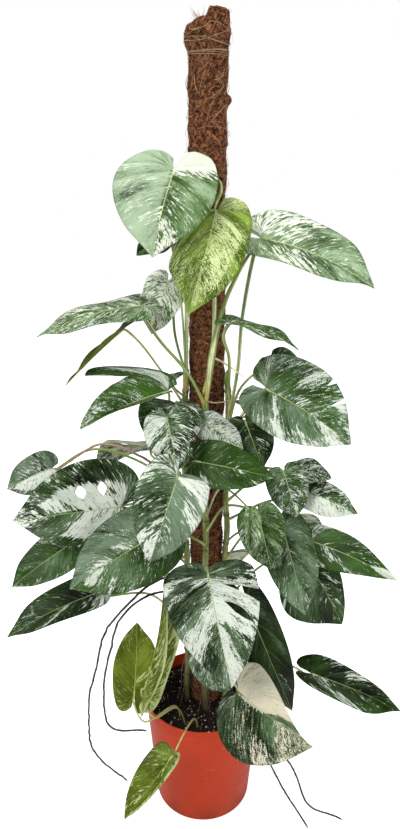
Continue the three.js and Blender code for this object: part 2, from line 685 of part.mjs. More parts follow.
    width: 84, bow: 5, phase: 2.6, rows: 6, behind: 12, via: [[70, 6, 960]],
  },
};

// Aerial roots: thin, few-sided tubes from a stem, down beside the pot or over the rim and along the
// surface that the pot stands on.
const ROOTS = {
  aerial_root_left_long: [
    [-34, -10, 570], [-100, -60, 580], [-155, -100, 545], [-184, -100, 509], [-202, -95, 463],
    [-217, -90, 386], [-232, -85, 341], [-242, -70, 231], [-243, -60, 166], [-221, -50, 110],
    [-195, -40, 71], [-170, -30, 33],
  ],
  aerial_root_left_hooked: [
    [-34, -10, 530], [-110, -60, 550], [-166, -104, 521], [-177, -112, 475], [-192, -116, 420],
    [-200, -116, 333], [-198, -116, 292], [-183, -118, 264], [-146, -124, 274], [-112, -127, 273],
  ],
  aerial_root_floor_inner: [
    [47, -10, 330], [90, 30, 292], [126, 42, 281], [146, 44, 240], [149, 44, 120], [154, 42, 30],
    [163, 34, 7], [172, 16, 2.6], [183, -21, 2.2], [197, -53, 2.2], [214, -92, 2.2], [227, -124, 2.2],
  ],
  aerial_root_floor_outer: [
    [47, -8, 360], [96, 44, 312], [136, 70, 288], [158, 76, 230], [164, 80, 110], [180, 78, 20],
    [196, 70, 5], [209, 50, 2.5], [222, 1, 2.2], [227, -45, 2.2], [237, -69, 2.2], [259, -84, 2.2],
    [281, -87, 2.2], [306, -104, 2.2],
  ],
  aerial_root_over_leaves: [
    [-34, -10, 715], [-72, -110, 840], [-112, -168, 900], [-163, -180, 928], [-189, -172, 913],
    [-236, -130, 866], [-262, -116, 846],
  ],
};

const material = (color, roughness) => new THREE.MeshStandardMaterial({ color, roughness, metalness: 0 });
const plant = new THREE.Group();

function place(name, geometry, color, roughness) {
  const mesh = new THREE.Mesh(geometry, material(color, roughness));
  mesh.name = name;
  plant.add(mesh);
}

const stemHoles = Object.values(stemClearance);
const poleHole = toSolid(rod(POLE_RADIUS + 2 * POLE_RELIEF, POLE_FOOT - 1, POLE_TOP));
const coreHole = toSolid(rod(CORE_RADIUS + CLEARANCE + 0.2, CORE_FOOT - 1, POLE_TOP));

// The soil gets a plain hole for the pole, the stake, each stem and each petiole that stands in it.
let soil = toSolid(soilGeometry()).subtract(poleHole).subtract(coreHole);
for (const hole of stemHoles) soil = soil.subtract(hole);
const leaves = {};
for (const [name, entry] of Object.entries(LEAVES)) {
  const leaf = { ...LEAF_DEFAULTS, ...entry };
  leaves[name] = leafSolid(leaf);
  if (leaf.foot) {
    const reach = leaf.radius + CLEARANCE * 1.2;
    soil = soil.subtract(toSolid(tube(petiolePoints(leaf), reach, leaf.steps)));
  }
}

place('pot', potGeometry(), TERRACOTTA, 0.5);
place('potting_soil', toGeometry(largestBody(soil)), SOIL_BLACK, 1);
place('coir_pole', poleGeometry(), COIR_BROWN, 1);
place('pole_core', rod(CORE_RADIUS, CORE_FOOT, CORE_TOP), STAKE_WOOD, 0.8);
place('pole_twine', tube(twinePoints(), TWINE_RADIUS, TWINE_TURNS * 12), TWINE_BROWN, 0.9);
for (const name of Object.keys(STEMS)) {
  place(`stem_${name}`, tube(stemPoints(name), STEM_RADIUS, STEM_STEPS, STEM_SIDES), STEM_GREEN, 0.6);
}
for (const [name, solid] of Object.entries(leaves)) {
  place(name, toGeometry(solid), name === 'leaf_02' ? LEAF_LIME : LEAF_GREEN, 0.4);
}
for (const [name, points] of Object.entries(ROOTS)) {
  let root = toSolid(tube(points, ROOT_RADIUS, points.length * 2));
  for (const hole of stemHoles) root = root.subtract(hole);
  place(name, toGeometry(largestBody(root)), ROOT_BROWN, 0.8);
}

export default plant;
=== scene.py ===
import math

import bpy
import numpy as np
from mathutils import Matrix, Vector


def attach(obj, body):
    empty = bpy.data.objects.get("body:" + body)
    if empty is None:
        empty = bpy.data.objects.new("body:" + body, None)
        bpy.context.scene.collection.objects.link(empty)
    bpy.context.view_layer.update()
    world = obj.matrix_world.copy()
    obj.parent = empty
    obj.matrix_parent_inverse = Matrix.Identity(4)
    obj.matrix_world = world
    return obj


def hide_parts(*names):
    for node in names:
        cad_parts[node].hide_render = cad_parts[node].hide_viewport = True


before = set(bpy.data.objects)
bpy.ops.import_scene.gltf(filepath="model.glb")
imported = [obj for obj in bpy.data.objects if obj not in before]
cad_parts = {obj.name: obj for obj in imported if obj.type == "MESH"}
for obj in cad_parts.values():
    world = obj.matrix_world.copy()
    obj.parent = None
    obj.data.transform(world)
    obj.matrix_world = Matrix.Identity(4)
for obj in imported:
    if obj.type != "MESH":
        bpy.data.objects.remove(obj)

# A potted variegated monstera deliciosa that climbs a coir pole. Tables are in millimetres, in the
# model's own frame: +Z up, the origin under the pot's middle, the front towards -Y. Meshes are in metres.

bl_info = {
    "name": "Potted Variegated Monstera",
    "version": (1, 0, 0),
    "blender": (4, 5, 0),
    "location": "3D View > Sidebar > Monstera",
    "description": "Builds the leaves, stems, coir pole, soil and pot of a climbing house plant",
    "category": "Object",
}

MM = 0.001
TAU = 2 * math.pi
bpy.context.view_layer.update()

# Pot
POT_HEIGHT = 268
RIM_RADIUS = 127
BASE_RADIUS = 104
POT_WALL = 2.4
BAND_HEIGHT = 27
BAND_STEP = 3.6
BOTTOM_RISE = 1.1
FOOT_RING = 14
POT_ROUNDING = 2.0
POT_SIDES = 144

# Soil: its clods are given as how high they stand, cells across the soil, and a seed
SOIL_LEVEL = 244
SOIL_DOME = 7
SOIL_SUNK = 2
SOIL_RADIUS = 121
SOIL_SPAN = 260
SOIL_CLODS = ((2.0, 24, 3), (1.3, 60, 4), (0.7, 130, 5))
SOIL_RINGS, SOIL_SIDES = 90, 200
SOIL_SEED = 11
GRAINS_WITHIN = 117

# Pole: the mat's profile is given as heights and radii, and its tufts as how they turn with the height,
# cells round and up the pole, and a seed
POLE_X, POLE_Y = 6, 6
POLE_RADIUS = 32
POLE_TOP = 1584
POLE_FOOT = 96
CAP_HEIGHT = 74
CAP_BULGE = 3.4
ROLL_PITCH = 9
MAT_PROFILE = ((0, 32), (1500, 32), (1516, 31), (1524, 32.5), (1538, 35.5), (1564, 35.5), (1578, 33))
TUFTS = ((5.2, 84, 180, 31), (9.1, 126, 360, 32), (-4.3, 80, 190, 33), (-8.4, 120, 380, 34))
MAT_RINGS, MAT_TOP_RINGS, MAT_SIDES = 500, 12, 128
FIBRE_SEED = 7
TUFT_SHARE = 0.02
WAIST_TURNS, CROSSING_TURNS = 4, 3
YARN_RADIUS = 0.42

# A knot in the coir: its turn round the pole, its height, and how far it stands out
KNOT_TURN, KNOT_HEIGHT, KNOT_REACH = -0.02, 1451, 6.5

# Stems stand round the pole: the turn round it in degrees and the height of each top
STEMS = {"front": (-93, 968), "left": (-158, 1010), "right": (-24, 1000), "back": (84, 985)}
STEM_RADIUS = 6
STEM_FOOT = 178
STEM_NODE = 64
STEM_SWAY = 1.6
STEM_REACH = 41.25
STEM_RINGS, STEM_SIDES = 240, 20
THIN_ROOTS = 7

# Short roots in front of the pole, each with how warm, how young and how thick it is
SHORT_ROOT_RINGS = 24
SHORT_ROOTS = {
    "front": [
        (1, 0.1, 1.5, [(4, -42, 950), (19, -52, 950), (43, -58, 955), (70, -56, 964)]),
        (0.3, 0, 1.2, [(4, -40, 926), (10, -44, 924), (22, -50, 922), (37, -48, 929)]),
    ],
    "right": [(1, 1, 2.1, [(22, -24, 1024), (33, -34, 1021), (52, -46, 1011), (71, -54, 999)])],
}

# Young stalks beside the top leaf's own: the points of each, and its radii at even steps along it
STALK_RINGS = 40
STALK_SEED = 7
STALKS = {
    "front": [
        ([(5, -45, 950), (10, -54, 1003), (16, -60, 1050), (25, -59, 1094), (37, -57, 1136), (49, -52, 1163),
          (63, -45, 1189), (78, -36, 1212)], [3, 5, 6.5, 5.6, 4, 3.6, 3.2, 2.8]),
        ([(17, -60, 1285), (21, -66, 1299), (27, -69, 1312), (27, -68, 1324), (20, -62, 1334)],
         [1.5, 3, 3, 2, 0.5]),
    ],
}

# Aerial roots: the points of each and how warm its colour is. All of them end in the same tip.
ROOT_RADIUS = 1.8
ROOT_MEAN = 15
ROOT_TIP = (0.9, 0.75, 0.55, 0.35, 0.15)
ROOTS = {
    "aerial_root_left_long": dict(warm=0, points=[
        (-34, -10, 570), (-100, -60, 580), (-155, -100, 545), (-184, -100, 509), (-202, -95, 463),
        (-217, -90, 386), (-232, -85, 341), (-242, -70, 231), (-243, -60, 166), (-221, -50, 110),
        (-195, -40, 71), (-170, -30, 33)]),
    "aerial_root_left_hooked": dict(warm=0, points=[
        (-34, -10, 530), (-110, -60, 550), (-166, -104, 521), (-177, -112, 475), (-192, -116, 420),
        (-200, -116, 333), (-198, -116, 292), (-183, -118, 264), (-146, -124, 274), (-112, -127, 273)]),
    "aerial_root_floor_inner": dict(warm=0, points=[
        (47, -10, 330), (90, 30, 292), (126, 42, 281), (146, 44, 240), (149, 44, 120), (154, 42, 30),
        (163, 34, 7), (172, 16, 2.6), (183, -21, 2.2), (197, -53, 2.2), (214, -92, 2.2), (227, -124, 2.2)]),
    "aerial_root_floor_outer": dict(warm=0, points=[
        (47, -8, 360), (96, 44, 312), (136, 70, 288), (158, 76, 230), (164, 80, 110), (180, 78, 20),
        (196, 70, 5), (209, 50, 2.5), (222, 1, 2.2), (227, -45, 2.2), (237, -69, 2.2), (259, -84, 2.2),
        (281, -87, 2.2), (306, -104, 2.2)]),
    "aerial_root_over_leaves": dict(warm=1, points=[
        (-34, -10, 715), (-72, -110, 840), (-112, -168, 900), (-163, -180, 928), (-189, -172, 913),
        (-236, -130, 866), (-262, -116, 846)]),
}

# The half outline of a blade, in parts of its length and width, from the back of a lobe to the tip
HALF_OUTLINE = np.array([
    (-0.15, 0.045), (-0.2, 0.16), (-0.16, 0.33), (0, 0.46), (0.24, 0.5), (0.49, 0.45), (0.73, 0.31),
    (0.9, 0.12), (1, 0),
])
VEINS_FAN_UNTIL = 0.3
VEIN_BEND, VEIN_REACH = 0.3, 0.55
LATERAL_VEINS, VEIN_SHIFT = 8, 0.2
SECTORS = 26
WELD_PER_MM = 100

# Rows and columns of half a blade, for a wide one and for a narrow one, and what counts as wide
WIDE_BLADE, WIDE_CUTS, NARROW_CUTS = 75, (52, 18), (36, 13)
RIB_RINGS, RIB_SIDES, RIB_MOST = 26, 8, 2.8
PETIOLE_RINGS, PETIOLE_SIDES = 44, 12

# What a leaf has where its entry says nothing. bow, camber and wave are how far its midrib, its halves and
# its margin bend, waves and phase how many waves there are and where they start, and fold is in degrees.
# lean makes the right half wider, lobe lengthens a lobe, taper narrows a half towards the tip, and sweep
# draws its margin there. fan gathers the veins at the base. radius is the petiole's, and behind is how far
# behind the blade it comes up. swing draws the veins of the markings to the base. pale, silver, tone and
# fine are how white, how silvery, how light and how finely flecked it is; the silvery grey-green is partly
# a painted sheen.
LEAF_DEFAULTS = dict(
    bow=10, fold=8, camber=-5, wave=4, waves=2.5, phase=0, lean=0, lobe=1, taper=0, sweep=0, fan=1.3,
    radius=2.8, behind=26, left=[], right=[], via=[], swing=0.28, pale=-0.15, silver=0.2, tone=0.5, fine=0.3,
    patches=[], kind="green",
)

# Lights: where each stands and aims, how wide it is, and its share of the main one's power
LIGHTS = (
    ("key_light", (-2.0, -2.9, 4.3), (0, 0, 0.8), 2.2, 1),
    ("top_light", (0.7, 0.5, 4.9), (0, 0, 0.9), 2.6, 0.7),
    ("fill_light", (3.2, -2.6, 1.6), (0, 0, 0.7), 2.4, 0.32),
)

# The camera: its place in metres, how far it is tipped up from straight down in degrees, and its lens,
# which is 700 parts long where the picture is 829 high
CAMERA_PLACE, CAMERA_TIP = (-0.0065, -1.24, 1.36), 70
SENSOR, LENS_IN_PIXELS, PICTURE_HEIGHT = 36, 700, 829
FLOOR_REACH = 6.0


def leaf_of(root, base, tip, face, width, **rest):
    """All that is said of one leaf. Its root is a stem and a height on it, or the petiole's foot."""
    return {**LEAF_DEFAULTS, "root": root, "base": base, "tip": tip, "face": face, "width": width, **rest}


# Each leaf, from the top down: what it grows from, its blade from base to tip, the way its face looks, its
# width, its form with the points that its petiole passes, and on a new line its markings. left_ stands
# before what the left half alone has. left and right list a half's slits: where the slit's root is along
# the margin, where it starts and stops from midrib to margin, and its half width, or the two places on the
# margin between which it opens. A patch is a side (1 right, -1 left, 0 both), a span of veins at the
# margin, a span from midrib to margin, how much paler it is there, and the span of veins at the midrib
# where that is another one.
LEAVES = {
    1: leaf_of(("left", 955), (-48, -56, 1345), (-82, -114, 1215), (-1, -9, 5), 168, bow=12, camber=-9,
        lean=-0.06, lobe=1.45, left_lobe=1, phase=0.5, radius=4.2, via=[(-30, -38, 1120), (-34, -40, 1290)],
        pale=-0.39, silver=0.4, left_silver=0.92, tone=0.42, fine=0.45, kind="fresh",
        patches=[(1, -0.1, 0.34, 0, 1.1, 0.95, -0.1, 0.5), (1, 0.34, 0.42, 0, 1.1, 0.36, 0.5, 0.57),
        (1, 0.56, 0.8, 0, 0.5, 0.2), (1, 0.8, 1.1, 0, 1.1, 0.42), (-1, 0.53, 0.58, 0.4, 0.9, 0.24),
        (-1, 0.7, 0.74, 0.1, 1.1, 0.26)]),
    2: leaf_of(("front", 962), (20, -62, 1280), (-26, -130, 1126), (2, -9, 4), 119, bow=8, fold=12,
        lean=0.1, left_lobe=0.1, left_sweep=0.58, phase=2, radius=5, behind=20,
        via=[(16, -56, 1050), (18, -48, 1180)],
        pale=-0.27, silver=0.45, tone=0.4, fine=1.15, kind="lime", patches=[(1, 0, 0.35, 0.3, 1.1, 0.12),
        (1, 0.5, 0.95, 0, 0.75, 0.26), (-1, 0, 0.3, 0.2, 1, 0.16), (0, 0.36, 0.56, 0, 0.5, -0.16),
        (-1, 0.6, 1, 0, 1.1, 0.06)]),
    3: leaf_of(("right", 900), (98, -30, 1236), (285, -70, 1159), (1, -6, 8), 140, bow=16, camber=-12,
        lean=0.28, phase=1, radius=3.6, via=[(62, -26, 1008), (68, -24, 1100)],
        pale=-0.28, silver=0.55, tone=0.5, kind="fresh", patches=[(1, 0.2, 0.62, 0.2, 1.1, 0.34),
        (-1, 0.5, 0.7, 0.3, 1.1, 0.2)]),
    4: leaf_of(("front", 940), (-108, -72, 1130), (-274, -118, 1088), (0, -2, 9), 104, bow=10, camber=-10,
        left_taper=0.35, phase=4, radius=3.2, via=[(-30, -58, 1010), (-76, -70, 1070)],
        pale=-0.15, silver=0.45, tone=0.45, fine=0.8, kind="fresh"),
    5: leaf_of(("left", 990), (-64, 0, 1156), (-94, -12, 1066), (-2, -8, 5), 80, bow=5, phase=3, behind=16,
        via=[(-52, 6, 1060)],
        pale=0.02, tone=0.5, kind="fresh"),
    6: leaf_of(("left", 930), (-137, -80, 1092), (-232, -120, 1006), (-7, 0, 7), 62, bow=2, fold=14,
        camber=-3, taper=0.6, phase=5, radius=2.4, via=[(-84, -24, 1012)],
        pale=-0.45, silver=0.1, tone=0.6, kind="olive"),
    7: leaf_of(("left", 870), (-62, -95, 986), (-204, -168, 944), (-1, -7, 6), 97, bow=15, lean=-0.88,
        lobe=0.3, left_lobe=1, left_sweep=0.15, phase=1.4, behind=14, left=[(0.47, 0.5, 1, (0.6, 0.95))],
        via=[(-60, -44, 946)],
        pale=-0.27, silver=0, tone=0.8, fine=0.7, patches=[(-1, 0.15, 0.47, 0.15, 0.85, 0.46),
        (-1, 0.6, 1.1, 0.4, 1.1, 0.14)]),
    8: leaf_of(("front", 840), (-48, -76, 956), (-66, -110, 872), (1, -6, 7), 116, bow=10, camber=-10,
        lean=-0.1, lobe=0.5, left_lobe=0.2, phase=2.2, behind=14, via=[(-10, -50, 900)],
        pale=-0.22, tone=0.4, fine=0.6),
    9: leaf_of(("left", 780), (-61, -156, 959), (-42, -188, 878), (0, -9, 4), 86, bow=6, phase=0,
        via=[(-60, -60, 826), (-64, -128, 872)],
        pale=-0.16, tone=0.5, silver=0.4, patches=[(-1, 0.3, 0.62, 0, 1.1, 0.36)]),
    10: leaf_of(("left", 740), (-280, -60, 825), (-358, -90, 797), (-2, -8, 4), 80, bow=6, phase=3.3,
        via=[(-120, -20, 820), (-210, -30, 850)],
        pale=-0.24, silver=0.7, tone=0.5, patches=[(1, 0.2, 0.9, 0, 0.7, 0.5)]),
    11: leaf_of(("left", 690), (-147, -115, 775), (-334, -155, 768), (-1, -9, 4), 156, bow=14, camber=-9,
        lean=-0.17, phase=1, left=[(0.47, 0.24, 0.52, 0.03), (0.6, 0.24, 0.52, 0.03)],
        via=[(-80, -50, 750)],
        pale=-0.28, tone=0.4, silver=0.4, patches=[(-1, 0.3, 0.85, 0, 0.55, 0.5),
        (1, 0.42, 0.72, 0, 0.75, 0.5), (0, 0.88, 1.1, 0, 1.1, 0.4)]),
    12: leaf_of(("left", 600), (-242, -110, 697), (-346, -160, 636), (-2, -8, 5), 84, bow=8, phase=2.5,
        via=[(-110, -40, 670), (-190, -70, 720)],
        pale=-0.34, silver=0.45, tone=0.9, fine=0.6, patches=[(-1, 0.5, 0.6, 0.2, 1, 0.3)]),
    13: leaf_of(("front", 650), (-80, -160, 745), (-230, -216, 670), (-1, -8, 5), 138, bow=14, camber=-10,
        phase=4.1, via=[(-30, -90, 700)],
        pale=-0.36, silver=0.3, left_silver=0.75, tone=0.6, fine=0.8, patches=[(0, 0.8, 1.1, 0, 0.6, 0.12),
        (-1, 0.45, 0.9, 0, 0.3, 0.16)]),
    14: leaf_of(("front", 735), (-42, -214, 880), (-88, -258, 747), (0, -9, 4), 118, bow=9, lobe=0.3,
        left_lobe=1, phase=0.8, via=[(-16, -90, 776), (-38, -160, 830)],
        pale=-0.29, silver=0.85, left_silver=0.6, tone=0.6, patches=[(-1, 0, 0.5, 0, 1.1, 0.24),
        (1, 0.3, 0.52, 0, 1.1, 0.56), (1, 0.56, 0.62, 0.4, 1.1, 0.4), (-1, 0.84, 0.97, 0, 1.1, 0.56)]),
    15: leaf_of(("front", 780), (-14, -128, 869), (122, -136, 841), (0, -8, 6), 86, bow=8, lobe=0.6,
        phase=5.2, via=[(-8, -76, 830)],
        pale=-0.35, tone=0.65, silver=0.2),
    16: leaf_of(("right", 840), (110, -84, 986), (252, -132, 902), (1, -8, 5), 153, bow=16, camber=-13,
        lean=0.11, lobe=1.2, left_lobe=1, phase=2.9, radius=3.4,
        right=[(0.64, 0.78, 1, 0.012), (0.74, 0.55, 1, 0.01)], via=[(70, -36, 920)],
        pale=-0.31, silver=0.5, left_silver=0.75, tone=0.85, fine=0.7,
        patches=[(-1, 0.555, 0.59, 0.15, 1.1, 0.6), (-1, 0.82, 0.93, 0, 1.1, 0.5),
        (-1, 0.4, 1, 0.7, 1.1, 0.12), (1, 0, 1, 0, 1.1, 0.13)]),
    17: leaf_of(("right", 950), (46, -80, 1104), (159, -104, 1062), (1, 0, 9), 80, bow=8, phase=1.9,
        radius=3.2, via=[(44, -56, 1036)],
        pale=-0.2, tone=0.6, silver=0.1, kind="fresh"),
    18: leaf_of(("right", 760), (145, -92, 829), (168, -115, 753), (1, -9, 3), 78, bow=5, phase=0.3,
        via=[(86, -50, 820)],
        pale=-0.2, silver=0.35, tone=0.75, fine=0.6),
    19: leaf_of(("right", 730), (172, -40, 812), (238, -62, 805), (1, -5, 8), 62, bow=6, phase=4.4,
        via=[(110, -20, 790)],
        pale=-0.12, tone=0.5),
    20: leaf_of(("right", 690), (191, -64, 780), (283, -98, 751), (1, -7, 6), 72, bow=7, taper=0.25,
        left_taper=0, phase=2, via=[(120, -30, 740)],
        pale=-0.22, tone=0.5, patches=[(-1, 0.3, 0.9, 0, 1.1, 0.5)]),
    21: leaf_of(("right", 560), (212, -60, 670), (364, -115, 619), (1, -7, 7), 90, bow=14, camber=-8,
        taper=0.4, phase=3.7, via=[(110, -26, 640)],
        pale=-0.36, silver=0.1, tone=0.65, patches=[(0, 0.86, 1.1, 0, 1.1, 0.7),
        (-1, 0.3, 0.5, 0.3, 1.1, 0.3)]),
    22: leaf_of(("front", 680), (95, -150, 776), (118, -182, 686), (1, -9, 3), 84, bow=6, phase=5.5,
        via=[(44, -84, 760)],
        pale=-0.32, silver=0.35, tone=0.4, fine=0.9, kind="fresh"),
    23: leaf_of(("front", 710), (79, -180, 795), (80, -196, 730), (1, -9, 3), 62, bow=4, fold=62, phase=1.2,
        radius=2.2, via=[(34, -90, 800)],
        pale=-0.16, tone=0.7, kind="fresh"),
    24: leaf_of(("right", 600), (146, -104, 723), (188, -152, 569), (1, -9, 3), 98, bow=9, phase=2.7,
        via=[(90, -50, 690)],
        pale=-0.34, silver=0.55, tone=0.6, fine=0.6),
    25: leaf_of(("right", 500), (201, -24, 618), (276, -76, 493), (2, -8, 4), 138, bow=9, lean=-0.33,
        left_sweep=0.15, phase=4.9, via=[(120, 0, 580)],
        pale=-0.3, silver=0.3, tone=0.45),
    26: leaf_of(("front", 520), (7, -194, 685), (49, -252, 489), (0, -9, 3), 174, bow=14, camber=-8,
        lobe=0.4, left_lobe=0.6, taper=0.3, fan=2.2, phase=0.2,
        right=[(0.5, 0.25, 1, 0.027), (0.62, 0.25, 0.94, 0.02)], via=[(-2, -90, 600)],
        swing=0.02, pale=-0.42, silver=0.45, left_silver=0.5, tone=0.35, fine=0.75,
        patches=[(1, 0.34, 0.42, 0.6, 1.1, 0.35), (1, 0.2, 0.3, 0.1, 0.5, 0.5),
        (1, 0.46, 0.68, 0, 1.1, 0.58, 0.44, 0.76), (1, 0.8, 1.1, 0, 1.1, 0.68, 0.76, 1.1),
        (1, 0.68, 0.8, 0.2, 1.1, 0.1), (-1, 0.39, 0.44, 0.4, 1.1, 0.5, 0.3, 0.36),
        (-1, 0.42, 0.48, 0, 0.36, 0.5), (-1, 0.45, 0.57, 0.3, 1.1, -0.1), (-1, 0.57, 0.63, 0, 1.1, 0.26),
        (-1, 0.63, 0.76, 0, 1.1, 0.5), (-1, 0.76, 0.97, 0, 1.1, 0.16)]),
    27: leaf_of(("right", 440), (88, -70, 532), (183, -96, 294), (1, -9, 1), 90, bow=16, phase=3.1,
        via=[(74, -30, 500)],
        pale=-0.62, tone=0.25),
    28: leaf_of((34, -52, 200), (67, -156, 397), (208, -206, 311), (1, -9, 3), 172, bow=12, camber=-10,
        lean=-0.13, lobe=0.8, left_lobe=0.6, taper=1, left_taper=-0.15, left_sweep=0.1, phase=1.6,
        via=[(42, -66, 290), (50, -98, 366)],
        pale=-0.37, silver=0.45, tone=0.4, fine=0.9, kind="cream", patches=[(1, 0.16, 0.72, 0, 1.1, 0.8),
        (1, 0, 0.1, 0.2, 1.1, 0.5), (0, 0.78, 1.1, 0, 1.1, 0.3), (-1, 0.5, 0.6, 0.3, 0.8, 0.2),
        (-1, 0.64, 0.74, 0.5, 1.1, 0.3)]),
    29: leaf_of(("right", 320), (228, -50, 350), (402, -110, 308), (1, -6, 8), 92, bow=12, fold=30,
        taper=0.35, left_taper=-0.25, left_sweep=0.25, phase=0.9, via=[(110, -20, 355), (188, -40, 360)],
        pale=-0.38, tone=0.35, silver=0.1, patches=[(-1, 0.48, 0.62, 0.1, 1.1, 0.34)]),
    30: leaf_of((-46, -44, 200), (-141, -92, 330), (-133, -58, 485), (1, 9, -2), 98, bow=8, phase=2.1,
        radius=2.2, behind=10, via=[(-60, -76, 290), (-120, -116, 286)],
        pale=-0.36, silver=0.3, kind="olive"),
    31: leaf_of((-30, -64, 200), (-113, -142, 392), (-74, -72, 636), (9, -5, 0), 90, bow=12, fold=58,
        phase=5, radius=2.2, behind=8, via=[(-56, -92, 300), (-98, -132, 312)],
        pale=-0.16, kind="olive", patches=[(0, 0, 1.1, 0.9, 1.1, 0.4)]),
    32: leaf_of((-8, -74, 200), (-60, -192, 274), (-152, -242, 168), (-1, -8, 5), 57, bow=10, lean=-0.42,
        lobe=0.4, phase=0.6, radius=2.2, behind=12, via=[(-18, -110, 288), (-40, -164, 298)],
        pale=-0.3, silver=0.2, tone=0.3, kind="olive", patches=[(1, 0, 1.1, 0.8, 1.1, 0.4)]),
    33: leaf_of(("left", 440), (-206, -50, 551), (-382, -110, 488), (-1, -5, 8), 84, bow=14, lean=-0.22,
        lobe=0.5, phase=3.5, via=[(-110, -20, 525)],
        pale=-0.34, tone=0.3, silver=0.1, patches=[(0, 0.15, 0.5, 0.2, 1.1, 0.4)]),
    34: leaf_of(("front", 350), (-1, -112, 446), (52, -142, 383), (0, -8, 5), 72, bow=5, phase=4.6,
        via=[(4, -70, 420)],
        pale=-0.24, silver=0.6, tone=0.4),
    35: leaf_of(("front", 905), (2, -78, 920), (70, -102, 882), (0, -7, 7), 60, bow=5, phase=1.1,
        radius=2.2, behind=10,
        pale=0.1),
    36: leaf_of(("right", 790), (77, -46, 909), (108, -74, 829), (1, -9, 3), 84, bow=5, phase=2.3,
        behind=14,
        pale=-0.45, tone=0.25),
    37: leaf_of(("back", 960), (-2, 104, 1240), (10, 186, 1128), (0, 9, 4), 126, bow=12, phase=0.4,
        via=[(12, 66, 1100)],
        pale=-0.12, tone=0.5),
    38: leaf_of(("back", 850), (-70, 104, 955), (-152, 182, 866), (-5, 8, 4), 118, bow=12, phase=1.7,
        via=[(-20, 76, 900)],
        pale=0.02, tone=0.3),
    39: leaf_of(("back", 800), (112, 104, 900), (222, 186, 815), (5, 8, 4), 132, bow=13, phase=3,
        via=[(44, 76, 860)],
        pale=-0.2, tone=0.4),
    40: leaf_of(("back", 700), (-112, 112, 800), (-232, 190, 712), (-5, 8, 4), 134, bow=14, phase=4.3,
        right=[(0.55, 0.24, 0.52, 0.03)], via=[(-40, 80, 760)],
        pale=-0.05, tone=0.4, patches=[(1, 0.2, 0.6, 0, 1, 0.4)]),
    41: leaf_of(("back", 650), (14, 150, 780), (26, 262, 650), (0, 9, 4), 152, bow=15, phase=5.6,
        left=[(0.5, 0.55, 1, 0.03)], via=[(8, 96, 740)],
        pale=-0.15, silver=0.5, tone=0.5),
    42: leaf_of(("back", 540), (152, 100, 640), (270, 176, 540), (5, 8, 4), 132, bow=12, phase=0.7,
        via=[(70, 76, 610)],
        pale=0, tone=0.35),
    43: leaf_of(("back", 480), (-142, 92, 600), (-262, 168, 492), (-5, 8, 4), 132, bow=12, phase=2.4,
        via=[(-60, 76, 560)],
        pale=-0.22, tone=0.3),
    44: leaf_of(("back", 400), (30, 140, 520), (50, 250, 400), (0, 9, 4), 146, bow=13, phase=3.9,
        via=[(14, 92, 480)],
        pale=-0.1, tone=0.45, patches=[(-1, 0.5, 1, 0, 1, 0.4)]),
    45: leaf_of(("left", 982), (-63, -34, 1243), (-113, -50, 1210), (-1, -8, 5), 50, bow=4, phase=1.3,
        radius=2.2, behind=10, via=[(-40, -26, 1130)],
        pale=-0.5, tone=0.3),
    46: leaf_of(("right", 880), (132, -8, 1010), (197, -22, 914), (1, -8, 4), 84, bow=5, phase=2.6,
        behind=12, via=[(70, 6, 960)],
        pale=-0.45, tone=0.3),
}


# Shared form tools

def unit(vectors):
    """Vectors divided by their lengths."""
    return vectors / np.maximum(np.linalg.norm(vectors, axis=-1, keepdims=True), 1e-12)


def blend(low, high, values):
    """0 below low and 1 above high, with a smooth step between."""
    t = np.clip((values - low) / (high - low), 0, 1)
    return t * t * (3 - 2 * t)


def noise(u, v, across, along, seed):
    """Smooth noise from -1 to 1: random numbers on a net of cells over u and v from 0 to 1, wrapped
    in u, with a smooth step between them."""
    table = np.random.default_rng(seed).uniform(-1, 1, (along + 2, across))
    x, y = (u % 1) * across, np.clip(v, 0, 1) * along
    i, j = np.floor(x).astype(int), np.floor(y).astype(int)
    p, q = blend(0, 1, x - i), blend(0, 1, y - j)
    low = table[j, i % across] * (1 - p) + table[j, (i + 1) % across] * p
    high = table[j + 1, i % across] * (1 - p) + table[j + 1, (i + 1) % across] * p
    return low * (1 - q) + high * q


def grid(rows, columns, closed):
    """Triangles of a grid of places, and the row and column of each of their corners."""
    r, c = np.meshgrid(np.arange(rows - 1), np.arange(columns - (not closed)), indexing="ij")
    row = np.stack([r, r, r + 1, r, r + 1, r + 1], -1).reshape(-1, 3)
    column = np.stack([c, c + 1, c + 1, c, c + 1, c], -1).reshape(-1, 3)
    return row * columns + column % columns, row, column


